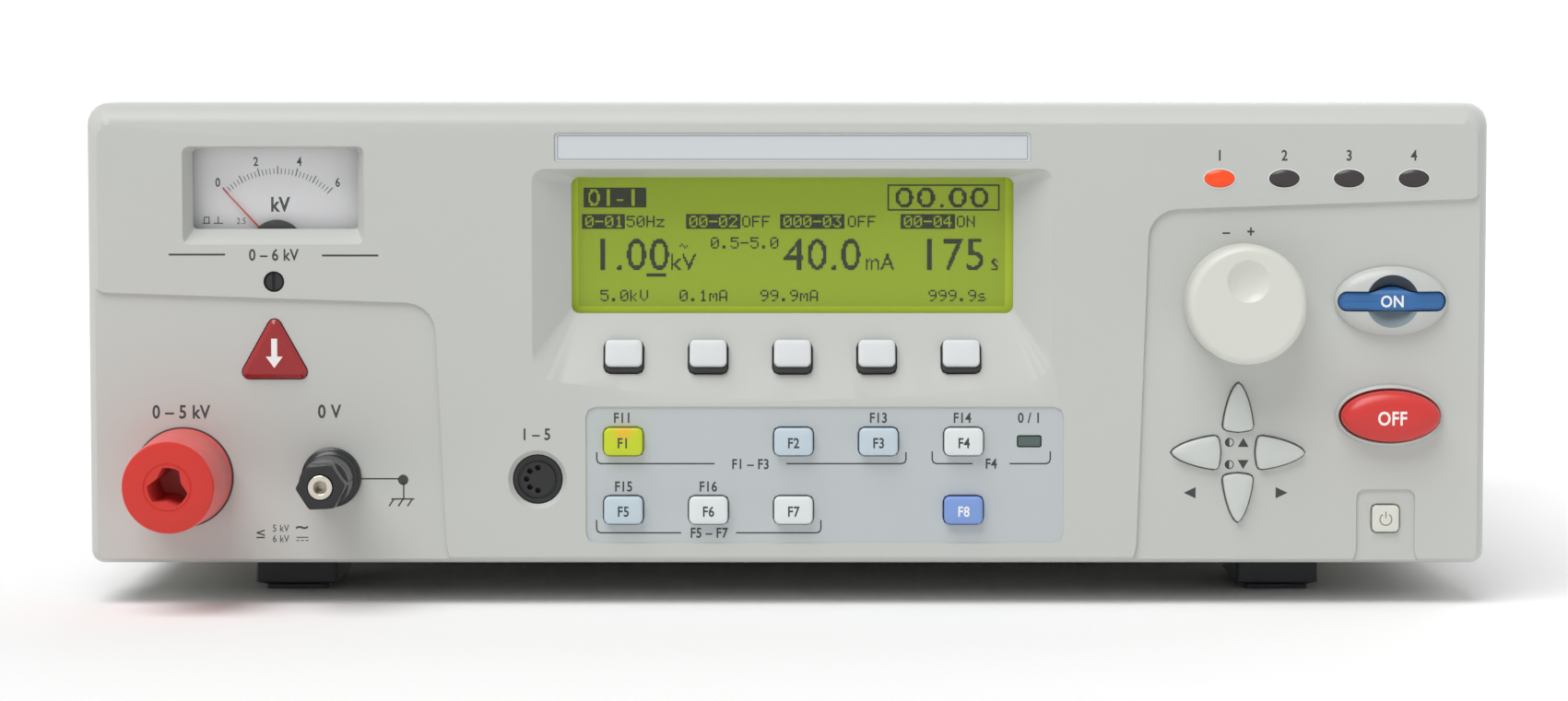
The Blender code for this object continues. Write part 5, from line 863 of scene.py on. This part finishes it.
# The pale rim round each lens is a painted highlight.
rim_painted_highlight = finish("rim_painted_highlight", "E2E4E2", 0.3, relief=0.0, mottle=0.01)
status_x, status_z = middle_of("status_lens_bar")
lens_pitch = 0.0198
lens_oval = oval(0.0046, 0.00265, 48)
layers = [(-0.0009 + 0.0008 * s**2.5, lens_oval * s) for s in (0.05, 0.3, 0.5, 0.7, 0.85, 0.95, 1.0)]
lens = skin(layers + [(0.0037, lens_oval)])
layers = [(-0.0002, grown(lens_oval, 0.0001)), (-0.0002, grown(lens_oval, 0.00035))]
rim = skin(layers + [(0.0, grown(lens_oval, 0.00045)), (0.0003, grown(lens_oval, 0.0001))], looped=True)
for number in range(4):
    seat = (status_x + lens_pitch * (number - 1.5), face_y, status_z)
    glass, slot = (lens_smoke, "smoke_lens") if number else (lens_glow, "lamp_glow")
    fitted(f"status_lens_{number + 1}", lens, glass, "case", seat, "status_lens_bar")
    fitted(f"status_rim_highlight_{number + 1}", rim, rim_painted_highlight, "case", seat)
strap = panel(0.0726, 0.0092, 0.001)
strap = skin([(0.0037, strap), (0.0057, strap)])
seat = (status_x, face_y, status_z)
fitted("status_lens_carrier", strap, lens_smoke, "case", seat, "status_lens_bar")
softened("remote_lens", lens_green)

lamp_x, lamp_low = middle_of("danger_lamp")[0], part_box("danger_lamp")[0].z + 0.0012
triangle = outline_of([(-0.0113, 0, 0.002), (0.0113, 0, 0.002), (0.0, 0.0203, 0.002)], 10)
lamp_red = finish("lamp_red", "A01A1E", 0.14, relief=0.0, mottle=0.12)
inner = grown(triangle, -0.0014)
middle = inner.mean(axis=0)
layers = [(-0.0015, middle + (inner - middle) * s) for s in (0.05, 1.0)]
layers += [(-0.0006, grown(triangle, -0.0002)), (-0.0004, triangle), (0.0023, triangle)]
layers += [(0.0023, grown(triangle, 0.0012)), (0.0038, grown(triangle, 0.0012))]
seat = (lamp_x, field_y, lamp_low)
fitted("danger_lens", skin(layers), lamp_red, "case", seat, "danger_lamp", turn=25)


def patch(points):
    """A filled outline, anticlockwise."""
    points = np.asarray(points, float)
    return points, [list(range(len(points)))]


arrow = [(-0.9, 4.5), (-0.9, -1.0), (-2.6, -1.0), (0, -4.5), (2.6, -1.0), (0.9, -1.0), (0.9, 4.5)]
marks = [patch(np.array(arrow) / 1000 + (lamp_x, lamp_low + 0.0078))]
printed("danger_lens_print", marks, face_y - 0.0005, white_ink, "case")


# The meter: a white dial in a black case behind a clear window, a red pointer on its pivot, a black cover
# over the movement, and the zero adjuster's slotted screw under the window. The scale and signs are ink.
def dressed(node, material):
    """A CAD node whose shape is right stays, with a finish in its slot."""
    nodes[node].material_slots[0].material = material


picture_middle, picture_foot, picture_dot = 854, 614, 0.00028252


def seen(across, down, depth=0.0):
    """The point (x, z), this deep behind the face, that shows at a place of the 1701-wide picture."""
    grow = 1 + depth / camera_distance
    x = (across - picture_middle) * picture_dot
    z = (picture_foot - down) * picture_dot + panel_low
    return x * grow, camera_height + (z - camera_height) * grow


def label(text, across, down, tall, depth=0.0, **more):
    """Letters whose middle shows at a place of the picture, `tall` of its pixels high."""
    x, z = seen(across, down, depth)
    return lettering(text, tall * picture_dot, x, z, **more)


def rule(places, width, depth=0.0):
    """A printed line through places of the picture."""
    return stroke([seen(across, down, depth) for across, down in places], width)


window_clear = bpy.data.materials.new("window_clear")
window_clear.use_nodes = True
shader = window_clear.node_tree.nodes["Principled BSDF"]
shader.inputs["Base Color"].default_value = (0.8, 0.82, 0.82, 1)
shader.inputs["Roughness"].default_value = 0.05
shader.inputs["Alpha"].default_value = 0.03
window_clear.blend_method = "BLEND"
dressed("meter_window", window_clear)
case_black = finish("case_black", "1E1F22", 0.5, mottle=0.08)
softened("meter_case", case_black)
dial_white = finish("dial_white", "F6F6F8", 0.5, relief=0.0, mottle=0.01)
dressed("meter_dial", dial_white)
pointer_red = finish("pointer_red", "D03A20", 0.4, relief=0.0, mottle=0.03)
softened("meter_pointer", pointer_red, "meter_pointer")
softened("zero_adjuster", case_black, "zero_adjuster")

dial_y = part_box("meter_dial")[0].y
dial_depth = dial_y - face_y
meter_x = middle_of("meter_window")[0]
pivot_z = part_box("meter_pointer")[0].z + 0.0037
scale_radius, swing = 0.0224, math.radians(43)
marks = []
for number in range(31):
    angle = -swing + 2 * swing * number / 30
    tick, line_width = (0.0018, 0.00022) if number % 5 else (0.0025, 0.00032)
    reach = np.array((scale_radius, scale_radius + tick))[:, None]
    line = (meter_x, pivot_z) + reach * (math.sin(angle), math.cos(angle))
    marks.append(stroke(line, line_width))
reach = scale_radius + 0.0047
for number, digit in enumerate("0246"):
    angle = -swing + 2 * swing * number / 3
    x, z = meter_x + reach * math.sin(angle), pivot_z + reach * math.cos(angle)
    marks.append(lettering(digit, 0.0026, x, z, 0.8))
marks.append(label("kV", 305, 221, 15, dial_depth, bold=0.03))
marks.append(label("2.5", 263, 239, 6.5, dial_depth, bold=0.0))
for line in (
    [(221, 241.5), (229, 241.5)],
    [(223, 241.5), (223, 235), (228, 235), (228, 241.5)],
    [(233, 241.5), (243, 241.5)],
    [(238, 234), (238, 241.5)],
):
    marks.append(rule(line, 0.0003, dial_depth))
printed("dial_scale", marks, dial_y, legend_ink, "case")
movement = arc(meter_x, pivot_z, 0.0084, 28, 152, 32)
for x in (meter_x - 0.0074, meter_x + 0.0074):
    movement = np.concatenate((movement, [(x, pivot_z - 0.0052)]))
cover = skin([(dial_y - 0.0032, movement), (dial_y - 0.0027, movement)])
fitted("movement_cover", cover, case_black, "case")


# The display: a yellow-green graphic module behind a clear window. What it shows is made of square dots,
# almost black where they are on: numbers, units, on or off, and measured values in tall digits.
lcd_green = finish("lcd_green", "AEC31A", 0.5, relief=0.0, mottle=0.03, lit=0.12, shine=0.1)
dot, dot_picture = 0.00051, 1.787
screen_left, screen_top = 630, 194
screen = np.zeros((76, 256), bool)
small_letters = {
    "0": "3E5149453E", "1": "00427F4000", "2": "4261514946", "3": "2141454B31", "4": "1814127F10",
    "5": "2745454539", "6": "3C4A494930", "7": "0171090503", "8": "3649494936", "9": "064949291E",
    ".": "0060600000", "O": "3E4141413E", "N": "7F0408107F", "F": "7F09090901", "H": "7F0808087F",
    "z": "4464544C44", "k": "7F10284400", "V": "1F2040201F", "m": "7C0418047C", "A": "7E1111117E",
    "s": "4854545420", "-": "0808080808", "~": "0804081008",
}


def small_dots(text):
    """A bitmap of letters 5 dots wide and 7 tall, 6 apart. Each byte is a column, its top dot lowest."""
    columns = "00".join(small_letters[letter] for letter in text)
    codes = np.frombuffer(bytes.fromhex(columns), np.uint8)
    return (codes[None, :] >> np.arange(7)[:, None] & 1).astype(bool)


def tall_dots(text, tall, stretch=0.8):
    """A bitmap of the font's letters: a dot is on where its middle lies in one of their triangles."""
    flat, faces = lettering(text, tall, 0, tall / 2, stretch, bold=0.0, anchor="LEFT")
    first, second, third = (flat[np.array(faces)[:, corner]][:, None, :] for corner in range(3))
    rows, columns = np.mgrid[0:tall, 0 : int(flat[:, 0].max()) + 1]
    x, z = columns.ravel() + 0.5, tall - rows.ravel() - 0.5
    areas = [
        (b[..., 0] - a[..., 0]) * (z - a[..., 1]) - (b[..., 1] - a[..., 1]) * (x - a[..., 0])
        for a, b in ((first, second), (second, third), (third, first))
    ]
    return (np.min(areas, axis=0) >= 0).any(axis=0).reshape(rows.shape)


def show(bits, across, down, box=0):
    """Draws a bitmap with its corner at a place of the picture. A box is that many dots wide, dark, with the
    bitmap clear in it and a dot of margin over and under it."""
    column, row = round((across - screen_left) / dot_picture), round((down - screen_top) / dot_picture)
    if box:
        screen[row - 1 : row + len(bits) + 1, column : column + box] = True
        column += 2
    screen[row : row + len(bits), column : column + bits.shape[1]] ^= bits


def bar_dots(width, tall=1):
    """A bitmap with every dot on."""
    return np.ones((tall, width), bool)


show(tall_dots("01-1", 10, 1.15), 633, 205, 38)
for text, across, box in (("0-01", 631, 26), ("00-02", 745, 33), ("000-03", 847, 39), ("00-04", 976, 33)):
    show(small_dots(text), across, 234, box)
for text, across in (("50Hz", 680), ("OFF", 806), ("OFF", 920), ("ON", 1037)):
    show(small_dots(text), across, 234)
show(tall_dots("00.00", 12, 1.42), 969, 203)
for across, down, width, tall in (
    (962, 199, 68, 1),
    (962, 226, 68, 1),
    (962, 201, 1, 14),
    (1081.5, 201, 1, 14),
):
    show(bar_dots(width, tall), across, down)
show(tall_dots("1.00", 19, 0.95), 643, 258)
show(tall_dots("40.0", 19, 0.95), 849, 258)
show(tall_dots("175", 19, 0.95), 997, 258)
show(bar_dots(12, 2), 702, 295)
show(tall_dots("kV", 10, 1.0), 727, 275)
show(small_dots("~"), 738, 261)
show(tall_dots("mA", 10, 0.85), 937, 275)
show(tall_dots("s", 10, 1.1), 1074, 275)
show(small_dots("0.5-5.0"), 771, 257)
for text, across in (("5.0kV", 652), ("0.1mA", 737), ("99.9mA", 824), ("999.9s", 1007)):
    show(small_dots(text), across, 314)

lcd_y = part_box("lcd_module")[0].y
corner = np.array(seen(screen_left, screen_top, lcd_y - face_y))
margin_x, margin_z = 0.0007, 0.0005
half_width = 0.5 * dot * screen.shape[1] + margin_x
half_height = 0.5 * dot * screen.shape[0] + margin_z
centre = corner + (half_width - margin_x, margin_z - half_height)
film(lcd_green, "8BA20C", centre.tolist(), (half_width, half_height), 0.0)
dressed("lcd_module", lcd_green)
dressed("lcd_window", window_clear)
lcd_ink = finish("lcd_ink", "1E2410", 0.5, relief=0.0, mottle=0.05, shine=0.1)
rows, columns = np.nonzero(screen)
centres = corner + np.column_stack((columns + 0.5, -rows - 0.5)) * dot
square = np.array([(-1, -1), (1, -1), (1, 1), (-1, 1)]) * dot * 0.49
flat = (centres[:, None, :] + square).reshape(-1, 2)
marks = [(flat, np.arange(len(flat)).reshape(-1, 4).tolist())]
printed("lcd_dots", marks, lcd_y, lcd_ink, "case")


# The screen print: numbers, units and plain signs in dark grey ink, printed on the moulding and its films.
# The fine lines join keys that belong together, and a thin frame runs round the bare strip.
marks = [rule([(184, 275.5), (245, 275.5)], 0.0006), rule([(350, 276.5), (411, 276.5)], 0.0006)]
marks += [label("0 – 6 kV", 297.5, 275.8, 12), label("1 – 5", 581, 471, 12)]
for number in range(4):
    x = status_x + lens_pitch * (number - 1.5)
    marks.append(lettering(str(number + 1), 0.0031, x, seen(0, 168)[1]))
printed("face_print", marks, face_y, legend_ink, "case")

thin = 0.00045
marks = [
    label("0 – 5 kV", 195.7, 446.5, 14, sunk),
    label("0 V", 356.7, 446, 14, sunk),
    label("≤", 281, 579, 12, sunk, stretch=1.1, bold=0.004),
    label("5 kV", 303, 573.5, 7.5, sunk, bold=0.005),
    label("6 kV", 303, 585, 7.5, sunk, bold=0.005),
    label("~", 326, 571.5, 12, sunk, stretch=1.3),
    rule([(320, 583.5), (333, 583.5)], 0.0003, sunk),
    rule([(320, 587), (323, 587)], 0.0003, sunk),
    rule([(325, 587), (328, 587)], 0.0003, sunk),
    rule([(330, 587), (333, 587)], 0.0003, sunk),
    rule([(391, 519.5), (432, 519.5)], thin, sunk),
    rule([(437, 524), (437, 542)], thin, sunk),
    rule([(423.5, 541.6), (448.5, 541.6)], thin, sunk),
    patch(np.array(seen(436.5, 520.7, sunk)) + oval(0.0016, 0.0016, 32)),
    label("–    +", 1343, 250.7, 12, sunk),
]
marks += [rule([(across, 542), (across - 5, 549.5)], thin, sunk) for across in (426, 436, 446)]
for triangle in (
    [(1285, 534.8), (1298, 541), (1298, 528.6)],
    [(1398, 534.8), (1385, 528.6), (1385, 541)],
    [(1343.5, 484.8), (1355.3, 484.8), (1349.4, 474.8)],
    [(1343.5, 499), (1349.4, 509), (1355.3, 499)],
):
    marks.append(patch([seen(across, down, sunk) for across, down in triangle]))
for down in (479.8, 504):
    x, z = seen(1334.4, down, sunk)
    marks.append(stroke(arc(x, z, 0.00125, 0, 360, 33)[:-1], 0.0003, closed=True))
    marks.append(patch(arc(x, z, 0.00125, 90, 270)))
printed("side_field_print", marks, field_y, legend_ink, "case")

film_depth = 0.0004
marks = []
for text, across, down in (
    ("F11", 675, 453),
    ("F13", 953, 453),
    ("F14", 1044, 453),
    ("0 / 1", 1117, 453),
    ("F15", 676, 528),
    ("F16", 768, 528),
    ("F1 – F3", 814, 503.5),
    ("F4", 1075.5, 503),
    ("F5 – F7", 768.8, 578.6),
):
    marks.append(label(text, across, down, 10.5, film_depth))
for left, right, top, base, gap_left, gap_right in (
    (647, 983, 490.5, 503, 775, 853),
    (1011.5, 1139.8, 489.5, 503, 1055.5, 1095.6),
    (646.6, 890.6, 564.5, 578.6, 738.5, 798.2),
):
    for end, gap, way in ((left, gap_left, 1), (right, gap_right, -1)):
        bend = [(end, base - 4.5), (end + 1.3 * way, base - 1.3), (end + 4.5 * way, base)]
        marks.append(rule([(end, top), *bend, (gap, base)], thin, film_depth))
printed("key_field_print", marks, face_y + film_depth, legend_ink, "case")
marks = [stroke(panel(0.1436, 0.0072, 0.0004) + (strip_x, strip_z), 0.00025, closed=True)]
strip_line = finish("strip_line", "8E979C", 0.5, relief=0.0)
printed("name_strip_line", marks, face_y + 0.0005, strip_line, "case")


# Inside: the boards are green glass laminate, the transformer a varnished core, the heat sink extruded
# aluminium. They stand on the tray and show only through the gaps.
board_green = finish("board_green", "1F6B45", 0.45, mottle=0.1)
for node in ("key_board", "soft_key_board", "main_board"):
    dressed(node, board_green)
dressed("hv_transformer", finish("core_iron", "4A4B4D", 0.5, 0.5, mottle=0.1))
dressed("heat_sink", finish("sink_grey", "A9ABAE", 0.35, 1.0, mottle=0.05))
softened("encoder_body", finish("encoder_grey", "6A6C70", 0.4, 0.6))
softened("encoder_shaft", nickel, "entry_knob")


# Behind: the fan, the power inlet, the interface connector, the earth post, and the cross-head screws that
# hold the cover, the rear panel, the fan and the inlet. The screws are zinc-plated steel.
softened("fan_frame", case_black)
softened("fan_rotor", case_black, "fan_rotor")
softened("power_inlet", case_black)
softened("interface_connector", finish("shell_grey", "A9ABAE", 0.35, 1.0))
softened("earth_post", nickel)

head_radius, head_rise, head_edge = 0.0029, 0.0018, 0.0005
profile = [(0.0, 0.0001), (0.0, head_radius), (-head_edge, head_radius)]
for angle in (0.5, 1.0, 1.4):
    depth = -head_edge - (head_rise - head_edge) * math.sin(angle)
    profile.append((depth, head_radius * math.cos(0.78 * angle)))
profile += [(-head_rise, 0.0008), (-head_rise, 0.0001)]
head = fitted("screw_head", lathe(profile, 32), nickel, "case")
arm = panel(0.0032, 0.0007, 0.0001, 2)
cross = [arm, turned(arm, math.pi / 2)]
carved(head, [cutter_of([(-0.003, arm), (-0.0008, arm * 0.7)]) for arm in cross])
head_points = points_of(head.data).astype(float)
head_faces = [list(polygon.vertices) for polygon in head.data.polygons]
bpy.data.objects.remove(head)


def screws(name, seats, heading, material):
    """Cross-head screws on seats (x, y, z). The heads face -Y before the turn about Z by the heading."""
    spin = np.array(Matrix.Rotation(heading, 3, "Z")).T
    points = (head_points @ spin)[None] + np.array(seats, float)[:, None, :]
    faces = [[v + len(head_points) * n for v in face] for n in range(len(seats)) for face in head_faces]
    fitted(name, (points.reshape(-1, 3), faces), material, "case", turn=30)


screw_zinc = finish("screw_zinc", "B4B5B2", 0.3, 1.0, mottle=0.05)
side_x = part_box("top_cover")[1].x
cover_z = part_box("chassis_base")[0].z + 0.0095
for side, heading in ((-1, -math.pi / 2), (1, math.pi / 2)):
    seats = [(side * side_x, y, cover_z) for y in (-0.105, 0.024, 0.155)]
    screws("cover_screws_" + ("left" if side < 0 else "right"), seats, heading, screw_zinc)
low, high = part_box("rear_panel")
rear_y = high.y
seats = [(x, rear_y, z) for x in (-0.2, 0.0, 0.2) for z in (low.z + 0.008, high.z - 0.008)]
fan_x, fan_z = middle_of("fan_frame")
fan_hole = 0.03575
seats += [(fan_x + x, rear_y, fan_z + z) for x in (-fan_hole, fan_hole) for z in (-fan_hole, fan_hole)]
screws("rear_screws", seats, math.pi, screw_zinc)
inlet_x, inlet_z = middle_of("power_inlet")
inlet_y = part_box("power_inlet")[1].y
screws("inlet_screws", [(inlet_x + x, inlet_y, inlet_z) for x in (-0.02, 0.02)], math.pi, screw_zinc)
